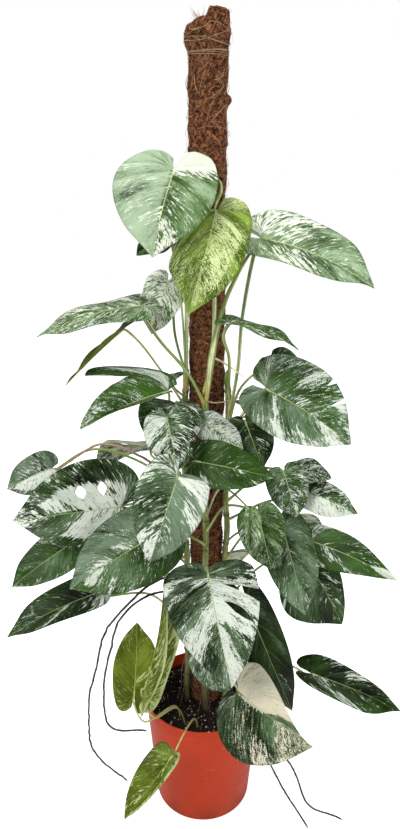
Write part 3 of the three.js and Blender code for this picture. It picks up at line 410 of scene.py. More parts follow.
class Form:
    """The surfaces of one piece: places, triangles with the UV of their corners, a finish for each
    triangle, and two triples of numbers at each place that the materials read."""

    def __init__(self):
        self.places, self.faces, self.uvs, self.finishes = [], [], [], []
        self.marks, self.traits = [], []
        self.count = 0

    def add(self, places, faces, uv, finish=0, marks=(0, 0, 0), traits=(0, 0, 0)):
        """Takes in places and the first skin over them."""
        start = self.count
        self.places.append(np.asarray(places, float))
        self.marks.append(np.broadcast_to(marks, (len(places), 3)))
        self.traits.append(np.broadcast_to(traits, (len(places), 3)))
        self.count += len(places)
        self.skin(faces + start, uv, finish)

    def skin(self, faces, uv, finish):
        """Takes in triangles over places that are in already, and the UV of their corners."""
        self.faces.append(faces)
        self.uvs.append(uv)
        self.finishes.append(np.full(len(faces), finish))

    def piece(self, name, finishes, nodes):
        """The mesh object: it rides on the root body and stands for its nodes, which it hides."""
        mesh = bpy.data.meshes.new(name)
        mesh.from_pydata(np.concatenate(self.places) * MM, [], np.concatenate(self.faces))
        layer = mesh.uv_layers.new(name="UVMap")
        layer.data.foreach_set("uv", np.concatenate(self.uvs).astype(np.float32).ravel())
        mesh.polygons.foreach_set("material_index", np.concatenate(self.finishes).astype(np.int32))
        for title, rows in (("marks", self.marks), ("traits", self.traits)):
            numbers = mesh.attributes.new(title, "FLOAT_VECTOR", "POINT")
            numbers.data.foreach_set("vector", np.concatenate(rows).astype(np.float32).ravel())
        mesh.shade_smooth()
        for finish in finishes:
            mesh.materials.append(finish)
        made = bpy.data.objects.new(name, mesh)
        bpy.context.scene.collection.objects.link(made)
        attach(made, "root")
        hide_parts(*nodes)
        return made


def smooth_path(points, count):
    """A centripetal Catmull-Rom curve through the points, cut in count places evenly along it. Between
    each two points it is a cubic whose slopes weigh the gaps by the square root of their lengths."""
    p = np.array(points, float)
    p = np.vstack([2 * p[0] - p[1], p, 2 * p[-1] - p[-2]])
    fine = 12 * len(points)
    t = np.linspace(0, len(points) - 1, fine)
    i = np.minimum(t.astype(int), len(points) - 2)
    w = (t - i)[:, None]
    a, b, c, d = p[i], p[i + 1], p[i + 2], p[i + 3]
    e, f, g = (np.linalg.norm(y - x, axis=1, keepdims=True) ** 0.5 for x, y in ((a, b), (b, c), (c, d)))
    start = ((b - a) / e - (c - a) / (e + f) + (c - b) / f) * f
    end = ((c - b) / f - (d - b) / (f + g) + (d - c) / g) * f
    curve = b + start * w + (3 * (c - b) - 2 * start - end) * w ** 2
    curve += (2 * (b - c) + start + end) * w ** 3
    run = np.concatenate([[0], np.cumsum(np.linalg.norm(np.diff(curve, axis=0), axis=1))])
    even = np.linspace(0, run[-1], count)
    return np.stack([np.interp(even, run, curve[:, k]) for k in range(3)], 1)


def closed_tube(rings, foot, top, run):
    """Rings of places joined in one skin, with a point that closes each end. U runs round, V is run."""
    rows, sides = rings.shape[:2]
    faces, row, column = grid(rows, sides, True)
    around = np.arange(sides)
    after = (around + 1) % sides
    last = (rows - 1) * sides
    start = np.stack([np.full(sides, rows * sides), after, around], 1)
    end = np.stack([np.full(sides, rows * sides + 1), last + around, last + after], 1)
    low = np.stack([around + 0.5, around + 1, around], 1) / sides
    high = np.stack([around + 0.5, around, around + 1], 1) / sides
    uv = np.concatenate([
        np.stack([column / sides, run[row]], -1),
        np.stack([low, np.full((sides, 3), run[0])], -1),
        np.stack([high, np.full((sides, 3), run[-1])], -1),
    ])
    return np.vstack([rings.reshape(-1, 3), foot, top]), np.vstack([faces, start, end]), uv


def sweep(path, radii, sides, shape=1.0):
    """A section carried along a path: at each place of the path a ring of its radius, times shape where
    the ring isn't round, stood square to the path. The rings start from one fixed direction, the one
    that the path runs along least."""
    tangent = unit(np.gradient(path, axis=0))
    least = np.linalg.svd(tangent)[2][2]
    across = unit(np.cross(least, tangent))
    up = np.cross(tangent, across)
    turn = TAU * np.arange(sides) / sides
    ring = across[:, None] * np.cos(turn)[:, None] + up[:, None] * np.sin(turn)[:, None]
    reach = np.broadcast_to(radii, len(path))[:, None] * np.broadcast_to(shape, (len(path), sides))
    rings = path[:, None] + ring * reach[..., None]
    return closed_tube(rings, path[0], path[-1], np.linspace(0, 1, len(path)))


def strands(paths, radii, sides, outward):
    """Many thin tubes at once: each path carries rings that stand square to it, counted from the
    direction outward at each of its places."""
    tangent = unit(np.gradient(paths, axis=1))
    across = unit(np.cross(outward, tangent))
    up = np.cross(tangent, across)
    turn = (TAU * np.arange(sides) / sides)[:, None]
    ring = across[:, :, None] * np.cos(turn) + up[:, :, None] * np.sin(turn)
    rings = paths[:, :, None] + ring * np.broadcast_to(radii, paths.shape[:2])[..., None, None]
    _, faces, uv = closed_tube(rings[0], paths[0, 0], paths[0, -1], np.linspace(0, 1, paths.shape[1]))
    places = np.concatenate([rings.reshape(len(paths), -1, 3), paths[:, :1], paths[:, -1:]], 1)
    faces = faces + places.shape[1] * np.arange(len(paths))[:, None, None]
    return places.reshape(-1, 3), faces.reshape(-1, 3), np.tile(uv, (len(paths), 1, 1))


def turned(profile, segments, swell=None):
    """A profile of radii and heights turned round the upright axis, from its lower pole to its upper
    one. swell gives the radii and heights of all places from theirs and their turn from 0 to 1."""
    radius, height = np.array(profile, float).T
    turn = np.arange(segments) / segments + 0 * radius[1:-1, None]
    r, z = radius[1:-1, None] + 0 * turn, height[1:-1, None] + 0 * turn
    if swell:
        r, z = swell(r, turn, z)
    rings = np.stack([r * np.cos(TAU * turn), r * np.sin(TAU * turn), z], -1)
    run = np.concatenate([[0], np.cumsum(np.hypot(np.diff(radius), np.diff(height)))])
    return closed_tube(rings, (0, 0, height[0]), (0, 0, height[-1]), (run / run[-1])[1:-1])


def rounded(corners, radius, steps=5):
    """A profile through the corners, each bent in an arc: a quadratic curve that leaves the corner's two
    edges at the given distance, or at a third of the shorter edge."""
    corners = np.array(corners, float)
    made = [corners[:1]]
    for before, corner, after in zip(corners, corners[1:], corners[2:]):
        reach = min(radius, np.linalg.norm(before - corner) / 3, np.linalg.norm(after - corner) / 3)
        a = corner + reach * unit(before - corner)
        b = corner + reach * unit(after - corner)
        t = np.linspace(0, 1, steps)[:, None]
        made.append((1 - t) ** 2 * a + 2 * t * (1 - t) * corner + t ** 2 * b)
    made.append(corners[-1:])
    return np.vstack(made)


def grains(centres, sizes, seed, kind="pebble"):
    """Small lumps: an icosahedron for each centre, stretched along three axes and turned at random."""
    golden = (1 + 5 ** 0.5) / 2
    ico = np.array([(-1, golden, 0), (1, golden, 0), (-1, -golden, 0), (1, -golden, 0), (0, -1, golden),
                    (0, 1, golden), (0, -1, -golden), (0, 1, -golden), (golden, 0, -1), (golden, 0, 1),
                    (-golden, 0, -1), (-golden, 0, 1)])
    ico = unit(ico)
    sides = np.array([(0, 11, 5), (0, 5, 1), (0, 1, 7), (0, 7, 10), (0, 10, 11), (1, 5, 9), (5, 11, 4),
                      (11, 10, 2), (10, 7, 6), (7, 1, 8), (3, 9, 4), (3, 4, 2), (3, 2, 6), (3, 6, 8),
                      (3, 8, 9), (4, 9, 5), (2, 4, 11), (6, 2, 10), (8, 6, 7), (9, 8, 1)])
    rng = np.random.default_rng(seed)
    count = len(centres)
    stretch = rng.uniform(0.6, 1.2, (count, 1, 3)) if kind == "pebble" else np.array([[[1.6, 0.7, 0.35]]])
    lumps = ico[None] * stretch * (1 + rng.uniform(-0.15, 0.15, (count, 12, 1)))
    turns = np.linalg.qr(rng.normal(size=(count, 3, 3)))[0]
    turns *= np.sign(np.linalg.det(turns))[:, None, None]
    lumps = lumps @ turns * np.asarray(sizes)[:, None, None] + np.asarray(centres)[:, None]
    faces = (sides[None] + 12 * np.arange(count)[:, None, None]).reshape(-1, 3)
    uv = (rng.random((count, 1, 2)) + 0.1 * ico[None, :, :2]).reshape(-1, 2)
    return lumps.reshape(-1, 3), faces, uv[faces]


# Leaves

def half_of(leaf, side, *keys):
    """What a leaf says of one half of its blade; the left half takes the right one's where it has none."""
    return [leaf[key] if side > 0 else leaf.get("left_" + key, leaf[key]) for key in keys]


def blade_axes(leaf):
    """The blade's own axes: along its midrib, out of its upper face, and across both."""
    base = np.array(leaf["base"], float)
    chord = np.array(leaf["tip"]) - base
    length = np.linalg.norm(chord)
    along = chord / length
    face = np.array(leaf["face"], float)
    face = unit(face - along * (face @ along))
    return base, length, along, face, np.cross(face, along)


def half_outline(margin):
    """The half outline at places from 0 at the back of the lobe to 1 at the tip: a uniform Catmull-Rom
    spline through the outline's points."""
    last = len(HALF_OUTLINE) - 1
    t = margin * last
    i = np.minimum(t.astype(int), last - 1)
    w = (t - i)[..., None]
    a, b = HALF_OUTLINE[np.maximum(i - 1, 0)], HALF_OUTLINE[i]
    c, d = HALF_OUTLINE[i + 1], HALF_OUTLINE[np.minimum(i + 2, last)]
    start, end = (c - a) / 2, (d - b) / 2
    point = b + start * w + (3 * (c - b) - 2 * start - end) * w ** 2 + (2 * (b - c) + start + end) * w ** 3
    return point[..., 0], point[..., 1]


def blade_places(leaf, side, margin, out, relief=0):
    """Places of the blade's middle surface. A vein leaves the midrib and bends towards the tip, as a
    quadratic curve from its root to the margin. The halves fold up from the midrib, curl down towards
    the margin with the square of the distance, and wave along it. relief stands out of the face."""
    base, length, along, face, across = blade_axes(leaf)
    x, y = half_outline(margin)
    lobe, taper, sweep_by = half_of(leaf, side, "lobe", "taper", "sweep")
    y = y * (1 - taper * np.maximum(x, 0))
    x = np.where(x < 0, x * lobe, x)
    root = (np.maximum(0, margin - VEINS_FAN_UNTIL) / (1 - VEINS_FAN_UNTIL)) ** leaf["fan"]
    bend, end = 2 * out * (1 - out), out * out
    v = (bend * VEIN_REACH + end) * y * (1 + side * leaf["lean"])
    straight = root * (1 - out) ** 2 + bend * (root + VEIN_BEND * (x - root)) + end * x
    u = straight + sweep_by * (2 * v) ** 2 * (1 - straight)
    fold = math.radians(leaf["fold"])
    wide = leaf["width"] * v
    wave = leaf["wave"] * np.minimum(1, 4 * (1 - margin)) * end
    wave = wave * np.sin(TAU * leaf["waves"] * margin + leaf["phase"] + side)
    rise = wide * math.sin(fold) + leaf["camber"] * (2 * v) ** 2 + wave + leaf["bow"] * 4 * u * (1 - u)
    rise = rise + relief
    place = base + along * (length * u)[..., None] + across * (side * wide * math.cos(fold))[..., None]
    return place + face * rise[..., None], wide


def slit_edges(slit, out):
    """Both edges of a slit or hole, as places on the margin's run. Each stands off its root by a half
    wave for a hole, and for a slit that is open at the margin by a power of the way to it: a low power
    for a notch, whose two places on the margin are given, so that it opens wide at once."""
    root, start, stop, half = slit
    run = np.clip((out - start) / (stop - start), 0, 1)
    if isinstance(half, tuple):
        return [root + (place - root) * run ** 0.4 for place in half]
    off = half * (np.sin(np.pi * run) if stop < 1 else run ** 0.7)
    return [root - off, root + off]


def margin_rows(leaf, count):
    """Where rows leave the midrib: at every slit of either half, and evenly between."""
    borders = sorted({0, 1, *(s[0] for s in leaf["left"]), *(s[0] for s in leaf["right"])})
    spans = [np.linspace(a, b, max(2, round((b - a) * count)) + 1)[:-1] for a, b in zip(borders, borders[1:])]
    return np.concatenate([*spans, [1]])


def patch(values, low, high, soft):
    """1 between low and high, 0 outside, with soft shoulders."""
    return np.clip((values - low) / soft + 0.5, 0, 1) * np.clip((high - values) / soft + 0.5, 0, 1)


def paleness(leaf, side, way, out):
    """How pale the blade is: its own paleness, and what each patch adds inside its spans. The span of
    veins goes in a straight line from the one at the midrib to the one at the margin."""
    pale = np.full(way.shape, float(leaf["pale"]))
    for which, w0, w1, o0, o1, more, *rib in leaf["patches"]:
        low, high = rib or (w0, w1)
        low, high = low + (w0 - low) * out, high + (w1 - high) * out
        if which in (0, side):
            pale = pale + more * patch(way, low, high, 0.025) * patch(out, o0 - 0.08, o1, 0.12)
    return pale


def vein_way(leaf, side, margin, out):
    """Where on the margin the side vein through a place ends: side veins start nearer the base than the
    blade's own rows do, by a part that falls with the way to the tip and with the way out."""
    swing, = half_of(leaf, side, "swing")
    return margin + swing * (1 - margin) * blend(0, 0.35, margin) * (1 - out)


def blade_relief(side, way, out, wide):
    """The blade's own low relief: it is sunk along the midrib as a bell curve of the distance, and puffed
    up between its side veins as the size of a sine."""
    puff = np.abs(np.sin(np.pi * (LATERAL_VEINS * way + VEIN_SHIFT * side))) - 0.6
    return 2.4 * puff * (4 * out * (1 - out)) ** 0.8 * blend(0, 25, wide) - 1.3 * np.exp(-(wide / 3.5) ** 2)


def blade_surface(leaf, rows, columns):
    """The middle surface: each half is a grid from its back to the tip and from midrib to margin, cut in
    panels by its slits. Places that fall together are made one."""
    places, faces, uvs, marks = [], [], [], []
    count = 0
    roots = margin_rows(leaf, rows)
    for side in (1, -1):
        slits = sorted(leaf["right"] if side > 0 else leaf["left"])
        stops = [k for slit in slits for k in slit[1:3] if k < 1]
        plain = np.linspace(0, 1, columns + 1) ** 0.9
        near = [abs(plain[1:-1] - stop) < 0.4 / columns for stop in stops]
        keep = ~np.any(near, axis=0) if near else np.ones(columns - 1, bool)
        out = np.sort(np.concatenate([[0, 1], plain[1:-1][keep], stops]))
        edges = [0 * out]
        for slit in slits:
            edges += slit_edges(slit, out)
        edges.append(0 * out + 1)
        for first, last in zip(edges[::2], edges[1::2]):
            part = roots[(roots >= first[0] - 1e-9) & (roots <= last[0] + 1e-9)]
            part = (part - first[0]) / (last[0] - first[0])
            margin = first + (last - first) * part[:, None]
            span = out + 0 * margin
            way = vein_way(leaf, side, margin, span)
            _, wide = blade_places(leaf, side, margin, span)
            place, _ = blade_places(leaf, side, margin, span, blade_relief(side, way, span, wide))
            face, row, column = grid(len(part), len(out), False)
            if side < 0:
                face, row, column = face[:, ::-1], row[:, ::-1], column[:, ::-1]
            places.append(place.reshape(-1, 3))
            faces.append(face[:, ::-1] + count)
            uvs.append(np.stack([side * span[row, column], way[row, column]], -1)[:, ::-1])
            pale = paleness(leaf, side, way, span)
            # silver is how strongly the material paints the silvery half-tones and sheen on this half
            silver = half_of(leaf, side, "silver")[0] + 0 * pale
            marks.append(np.stack([pale, wide, silver], -1).reshape(-1, 3))
            count += place.shape[0] * place.shape[1]
    places, faces, uvs, marks = map(np.concatenate, (places, faces, uvs, marks))
    cells = np.round(places * WELD_PER_MM).astype(int)
    _, first, same = np.unique(cells, axis=0, return_index=True, return_inverse=True)
    faces = same.reshape(-1)[faces]
    whole = (faces[:, 0] != faces[:, 1]) & (faces[:, 1] != faces[:, 2]) & (faces[:, 2] != faces[:, 0])
    return places[first], faces[whole], uvs[whole], marks[first]


def blade_solid(leaf, rows, columns, settings):
    """The blade with its thickness: both faces stand half of it off the middle surface, along its
    normals, and walls join them round every free edge. It thins from the midrib to the margin."""
    places, faces, uvs, marks = blade_surface(leaf, rows, columns)
    a, b, c = places[faces[:, 0]], places[faces[:, 1]], places[faces[:, 2]]
    slopes = np.cross(b - a, c - a)
    normals = np.zeros_like(places)
    for corner in range(3):
        np.add.at(normals, faces[:, corner], slopes)
    normals = unit(normals)
    half = (settings.margin_thickness + settings.rib_thickness * np.exp(-(marks[:, 1:2] / 8) ** 2)) / (2 * MM)
    count = len(places)
    starts = np.concatenate([faces[:, 0], faces[:, 1], faces[:, 2]])
    ends = np.concatenate([faces[:, 1], faces[:, 2], faces[:, 0]])
    free = ~np.isin(starts * count + ends, ends * count + starts)
    i, j = starts[free], ends[free]
    walls = np.vstack([np.stack([i, i + count, j], 1), np.stack([j, i + count, j + count], 1)])
    corners = np.concatenate([uvs[:, 0], uvs[:, 1], uvs[:, 2]])
    near = np.zeros((2 * count, 2))
    near[starts], near[starts + count] = corners, corners
    solid = np.vstack([places + normals * half, places - normals * half])
    under = faces[:, ::-1] + count
    return solid, (faces, uvs), (under, uvs[:, ::-1]), (walls, near[walls]), np.vstack([marks, marks])


def stem_point(name, z):
    """Places on a stem's axis: round the pole, leaning out at every second node."""
    turn = math.radians(STEMS[name][0])
    reach = STEM_REACH + STEM_SWAY * (1 + np.sin(np.pi * z / STEM_NODE))
    across = STEM_SWAY * np.sin(np.pi * z / (STEM_NODE * 1.7) + STEMS[name][0])
    x = POLE_X + reach * math.cos(turn) - across * math.sin(turn)
    y = POLE_Y + reach * math.sin(turn) + across * math.cos(turn)
    return np.stack(np.broadcast_arrays(x, y, z), -1)


def petiole_path(leaf):
    """From the stem or the soil out to the blade's underside, where it runs into the midrib."""
    base, length, along, face, _ = blade_axes(leaf)
    start = stem_point(*leaf["root"]) if len(leaf["root"]) == 2 else leaf["root"]
    back = base - face * leaf["behind"] - along * 4
    neck = base - face * leaf["radius"] * 0.75
    end = neck + along * length * 0.07 + face * leaf["bow"] * 0.26
    return smooth_path([start, *leaf["via"], back, neck, end], PETIOLE_RINGS)


def make_leaf(number, leaf, settings, finishes):
    """One leaf: its blade, the rib under the blade, tapering to the tip, and its petiole, which is wide
    where it clasps the stem, slim in its run and a little thicker at its joint with the blade."""
    name = "leaf_%02d" % number
    traits = ((number - 1) * 1.37, leaf["tone"], leaf["fine"])
    form = Form()
    rows, columns = WIDE_CUTS if leaf["width"] > WIDE_BLADE else NARROW_CUTS
    solid, upper, under, walls, marks = blade_solid(leaf, rows, columns, settings)
    form.add(solid, *upper, 0, marks, traits)
    form.skin(*under, 1)
    form.skin(*walls, 1)
    base, length, along, face, _ = blade_axes(leaf)
    u = np.linspace(0, 0.94, RIB_RINGS)
    rib = base + along * (length * u)[:, None] + face * (leaf["bow"] * 4 * u * (1 - u) - 1.7)[:, None]
    radii = min(leaf["radius"], RIB_MOST) * 0.6 * (1 - 0.85 * u)
    form.add(*sweep(rib, radii, RIB_SIDES), 1, (0.2, 0, 0), traits)
    path = petiole_path(leaf)
    t = np.linspace(0, 1, len(path))
    radii = leaf["radius"] * (0.86 + 0.5 * np.exp(-(t / 0.09) ** 2) + 0.16 * np.exp(-((t - 0.9) / 0.05) ** 2))
    turn = TAU * np.arange(PETIOLE_SIDES) / PETIOLE_SIDES
    groove = 1 - 0.14 * np.exp(-((turn - np.pi / 2) / 0.5) ** 2)
    form.add(*sweep(path, radii, PETIOLE_SIDES, groove), 2, (0, 0, 0), traits)
    return form.piece("monstera_" + name, finishes[leaf["kind"]], [name])


# Finishes

def paint(text):
    """A colour written as in a web page, as linear numbers with full alpha, by the sRGB curve: a line up
    to 0.04045 and a power of 2.4 from there."""
    parts = [int(text[i:i + 2], 16) / 255 for i in (1, 3, 5)]
    return tuple(p / 12.92 if p <= 0.04045 else ((p + 0.055) / 1.055) ** 2.4 for p in parts) + (1.0,)


def darker(colour, share):
    """A share of a colour, with full alpha."""
    return tuple(share * part for part in colour[:3]) + (1.0,)


class Net:
    """A node tree in the making: each call adds one node and gives the socket that comes out of it."""

    def __init__(self, tree):
        self.tree = tree

    def put(self, kind, inputs=(), output=0, **settings):
        """A node of a kind, with its settings, and its inputs set to values or wired to sockets. Gives one
        of its outputs, or the node where output is None."""
        node = self.tree.nodes.new(kind)
        for key, value in settings.items():
            setattr(node, key, value)
        for key, value in dict(inputs).items():
            if isinstance(value, bpy.types.NodeSocket):
                self.tree.links.new(value, node.inputs[key])
            else:
                node.inputs[key].default_value = value
        return node.outputs[output] if output is not None else node

    def math(self, operation, *terms, clamp=False):
        return self.put("ShaderNodeMath", enumerate(terms), operation=operation, use_clamp=clamp)

    def times(self, first, second, clamp=False):
        return self.math("MULTIPLY", first, second, clamp=clamp)

    def minus(self, first, second):
        return self.math("SUBTRACT", first, second)

    def total(self, *terms):
        """The sum of the terms, each a socket or a socket with its weight."""
        made = None
        for term in terms:
            value = self.times(*term) if isinstance(term, tuple) else term
            made = value if made is None else self.math("ADD", made, value)
        return made

    def step(self, value, low, high, start=0.0, end=1.0):
        """start up to low and end from high on, with a smooth step between."""
        inputs = {"Value": value, "From Min": low, "From Max": high, "To Min": start, "To Max": end}
        return self.put("ShaderNodeMapRange", inputs, interpolation_type="SMOOTHSTEP")

    def mix(self, share, first, second):
        return self.put("ShaderNodeMix", {0: share, 6: first, 7: second}, 2, data_type="RGBA")

    def join(self, x=0.0, y=0.0, z=0.0):
        return self.put("ShaderNodeCombineXYZ", {0: x, 1: y, 2: z})

    def split(self, vector):
        node = self.put("ShaderNodeSeparateXYZ", {0: vector}, None)
        return node.outputs[0], node.outputs[1], node.outputs[2]

    def scaled(self, vector, scale, turn=(0, 0, 0)):
        """A pattern's coordinates, turned and then stretched by a scale along each axis."""
        return self.put("ShaderNodeMapping", {"Vector": vector, "Scale": scale, "Rotation": turn})

    def noise(self, vector, scale=1.0, detail=2.0, roughness=0.5, distortion=0.0):
        inputs = {"Vector": vector, "Scale": scale, "Detail": detail, "Roughness": roughness}
        return self.put("ShaderNodeTexNoise", {**inputs, "Distortion": distortion})

    def place(self, kind="Object"):
        """Where a point lies on the piece, in the piece's own metres or in its UV."""
        return self.put("ShaderNodeTexCoord", (), kind)

    def drawn_out(self, around, along):
        """A stalk's UV as a pattern's coordinates, with so many features round it and along it."""
        x, y, _ = self.split(self.place("UV"))
        return self.join(self.times(x, around), self.times(y, along))

    def numbers(self, title):
        """The three numbers that a piece holds at each place under a title."""
        return self.split(self.put("ShaderNodeAttribute", (), 1, attribute_name=title))

    def group(self, tree, inputs):
        """All outputs of a node group."""
        return self.put("ShaderNodeGroup", inputs, None, node_tree=tree).outputs

    def bump(self, height, strength, distance):
        return self.put("ShaderNodeBump", {"Height": height, "Strength": strength, "Distance": distance})


def node_group(name, inputs, outputs):
    """An empty shader group with number inputs and outputs, and the net and sockets to fill it with."""
    tree = bpy.data.node_groups.new(name, "ShaderNodeTree")
    for title, kind, value in inputs:
        socket = tree.interface.new_socket(title, in_out="INPUT", socket_type=kind)
        if value is not None:
            socket.default_value = value
    for title, kind in outputs:
        tree.interface.new_socket(title, in_out="OUTPUT", socket_type=kind)
    entry, ending = tree.nodes.new("NodeGroupInput"), tree.nodes.new("NodeGroupOutput")
    return tree, Net(tree), entry.outputs, ending.inputs


def finish_of(name, shade, **constants):
    """A material: shade wires its colour, roughness and bump, and the constants stand on its shader."""
    made = bpy.data.materials.new(name)
    made.use_nodes = True
    net = Net(made.node_tree)
    shader = made.node_tree.nodes["Principled BSDF"]
    for title, value in constants.items():
        shader.inputs[title.replace("_", " ").title().replace("Ior", "IOR")].default_value = value
    for title, socket in shade(net).items():
        made.node_tree.links.new(socket, shader.inputs[title])
    return made


FLOAT, VECTOR = "NodeSocketFloat", "NodeSocketVector"


def variegation_group():
    """How pale a blade is at each place, and where its veins and rib run. The blade's UV runs along the
    veins and across them, so noise that is drawn out along x gives streaks that follow the veins. Tone is
    over 0 where the blade is white: crisp flecks where it is green, green flecks where a patch is white,
    and a few whole sectors between two veins. Sheen is where the green is silvery: partly grey-green
    half-tones, partly a painted sheen, a reflection painted into the colour. It also holds painted shade
    on the side of each puffed band towards the base."""
    tree, net, given, out = node_group(
        "Leaf Variegation",
        [("Pale", FLOAT, 0.0), ("Seed", FLOAT, 0.0), ("Rib Distance", FLOAT, 10.0), ("Fine", FLOAT, 0.3),
         ("Veins", FLOAT, LATERAL_VEINS)],
        [("Tone", FLOAT), ("Sheen", FLOAT), ("Vein", FLOAT), ("Rib", FLOAT), ("Height", FLOAT)],
    )
    x, margin, _ = net.split(net.place("UV"))
    span = net.math("ABSOLUTE", x)
    side = net.math("SIGN", x)
    seed = net.math("ADD", given["Seed"], net.times(side, 5.3))

    def drawn(along, across, way, detail, roughness, distortion=0.0):
        """Noise with so many features from midrib to margin and so many from base to tip, about zero."""
        vector = net.join(net.times(span, along), net.times(way, across), seed)
        return net.minus(net.noise(vector, 1.0, detail, roughness, distortion), 0.5)

    broad = drawn(1.6, 9.0, margin, 2.0, 0.5)
    way = net.total(margin, (broad, 0.04))
    flecks = drawn(4.2, 74.0, way, 2.0, 0.55, 0.3)
    hairs = drawn(8.0, 180.0, way, 2.0, 0.6)
    stipple = drawn(40.0, 330.0, way, 1.0, 0.5)
    cell = net.math("FLOOR", net.times(way, SECTORS))
    place = net.join(cell, side, given["Seed"])
    sector = net.put("ShaderNodeTexWhiteNoise", {"Vector": place}, noise_dimensions="3D")
    wedge = net.times(net.step(sector, 0.84, 0.9), net.step(broad, -0.05, 0.1))
    coarse = net.minus(1.9, given["Fine"])
    small = net.math("MULTIPLY_ADD", given["Fine"], 1.3, 0.1)
    whole = net.total((broad, 0.8), (flecks, coarse), (hairs, 1.1), (stipple, small), (wedge, 0.3),
                      given["Pale"])
    part = net.math("FRACT", net.math("MULTIPLY_ADD", margin, given["Veins"], net.times(side, VEIN_SHIFT)))
    # Painted shade: each band between two side veins is darker towards the vein on its base side, as a puffed
    # band is shaded there
    shade = net.math("POWER", part, 3.0)
    # Sheen: mottle that sets the grey-green half-tones and a painted sheen, less the painted band shade
    mottle_sheen_and_shade = net.total((drawn(1.1, 7.0, margin, 1.0, 0.5), 1.2), (flecks, 0.6), (hairs, 0.8), (stipple, 0.7),
                      (shade, -0.16))
    off = net.math("MINIMUM", part, net.minus(1.0, part))
    width = net.step(span, 0.0, 1.0, 0.07, 0.012)
    vein = net.step(net.math("DIVIDE", off, width), 0.2, 1.0, 1.0, 0.0)
    rib_width = net.step(margin, 0.2, 1.0, 2.0, 0.6)
    rib = net.step(net.math("DIVIDE", given["Rib Distance"], rib_width), 0.4, 1.0, 1.0, 0.0)
    height = net.total((vein, -0.6), (flecks, 0.4), (hairs, 0.5), (stipple, 0.5))
    ends = {"Tone": whole, "Sheen": mottle_sheen_and_shade, "Vein": vein, "Rib": rib, "Height": height}
    for title, socket in ends.items():
        net.tree.links.new(socket, out[title])
    return tree


def blade_finish(name, tree, colours, under):
    """The skin of a blade: its green from dark to light, silvery half-tones that are partly a painted sheen,
    white parts, faint veins and a pale rib. The underside is duller and greyer, and its veins stand out."""
    dark, light, silver, white, rib = map(paint, colours)

    def shade(net):
        pale, distance, silvery = net.numbers("marks")
        seed, tone, fine = net.numbers("traits")
        got = net.group(tree, {"Pale": pale, "Seed": seed, "Rib Distance": distance, "Fine": fine})
        tint = net.noise(net.scaled(net.place(), (14, 14, 14)), 1.0, 3.0)
        cloud = net.minus(tint, 0.5)
        # Sheen lightens the green here, and its painted band shade darkens it
        green = net.mix(net.total((cloud, 1.6), (got["Sheen"], 0.9), tone), dark, light)
        # Share of the silver colour: grey-green half-tones and a painted sheen, the sky's reflection on the
        # glossy blade
        grey = net.step(net.total(got["Sheen"], (cloud, 0.6), silvery), 0.2, 1.0, 0.0, 0.9)
        half = net.step(got["Tone"], -0.16, 0.0, 0.0, 0.55)
        green = net.mix(net.math("MAXIMUM", grey, half), green, silver)
        cream = net.mix(net.step(tint, 0.35, 0.75), white, darker(white, 0.85))
        cream = net.mix(net.step(got["Sheen"], 0.1, -0.45, 0.0, 0.4), cream, silver)
        skin = net.mix(net.step(got["Tone"], 0.0, 0.07, 0.0, 0.94), green, cream)
        skin = net.mix(net.times(got["Vein"], 0.3 if under else 0.12), skin, rib)
        skin = net.mix(net.times(got["Rib"], 0.7), skin, rib)
        rough = net.total((tint, 0.16), (net.step(got["Tone"], 0.0, 0.12), 0.06))
        rough = net.math("ADD", rough, 0.5 if under else 0.3)
        height = net.times(got["Height"], -1.0) if under else got["Height"]
        return {"Base Color": skin, "Roughness": rough, "Normal": net.bump(height, 0.4, 0.0012)}

    return finish_of(name, shade, specular_ior_level=0.1 if under else 0.13)


def petiole_finish(name, green, cream, foot):
    """Smooth stalk skin: green with cream stripes along it that come and go, and warmer at its foot."""
    green, cream, foot = paint(green), paint(cream), paint(foot)

    def shade(net):
        around, along, _ = net.split(net.place("UV"))
        seed, _, _ = net.numbers("traits")
        drawn = net.join(net.times(around, 9.0), net.times(along, 1.6), seed)
        stripes = net.noise(drawn, 1.0, 3.0)
        mottle = net.noise(net.scaled(net.place(), (130, 130, 50)), 1.0, 2.0)
        skin = net.mix(net.step(stripes, 0.5, 0.6), green, cream)
        skin = net.mix(net.step(along, 0.16, 0.0, 0.0, 0.7), skin, foot)
        skin = net.mix(net.step(mottle, 0.45, 0.75, 0.0, 0.35), skin, darker(green, 0.5))
        height = net.total(stripes, (mottle, 0.5))
        return {"Base Color": skin, "Roughness": net.step(mottle, 0.2, 0.8, 0.32, 0.5),
                "Normal": net.bump(height, 0.25, 0.001)}

    return finish_of(name, shade)


def stem_finish():
    """Climbing stem: olive green with pale stripes above, browner and scarred below, ringed at its nodes."""
    green, pale, brown, scar = map(paint, ("#6c7c38", "#bcbf85", "#69683a", "#3b2e20"))

    def shade(net):
        _, _, z = net.split(net.place())
        drawn = net.drawn_out(10.0, 14.0)
        node, _, _ = net.numbers("marks")
        grain = net.noise(drawn, 1.0, 4.0, 0.6)
        speck = net.noise(net.scaled(net.place(), (160, 160, 110)), 1.0, 3.0, 0.6)
        skin = net.mix(net.step(grain, 0.5, 0.62), green, pale)
        low = net.total(net.step(z, 0.75, 0.3), (net.minus(speck, 0.5), 1.2))
        skin = net.mix(net.times(low, 0.9, clamp=True), skin, brown)
        skin = net.mix(net.times(node, 0.8, clamp=True), skin, scar)
        skin = net.mix(net.step(speck, 0.62, 0.72, 0.0, 0.6), skin, scar)
        return {"Base Color": skin, "Roughness": net.step(speck, 0.2, 0.8, 0.45, 0.75),
                "Normal": net.bump(net.total(grain, speck), 0.4, 0.0015)}

    return finish_of("monstera_stem_skin", shade)


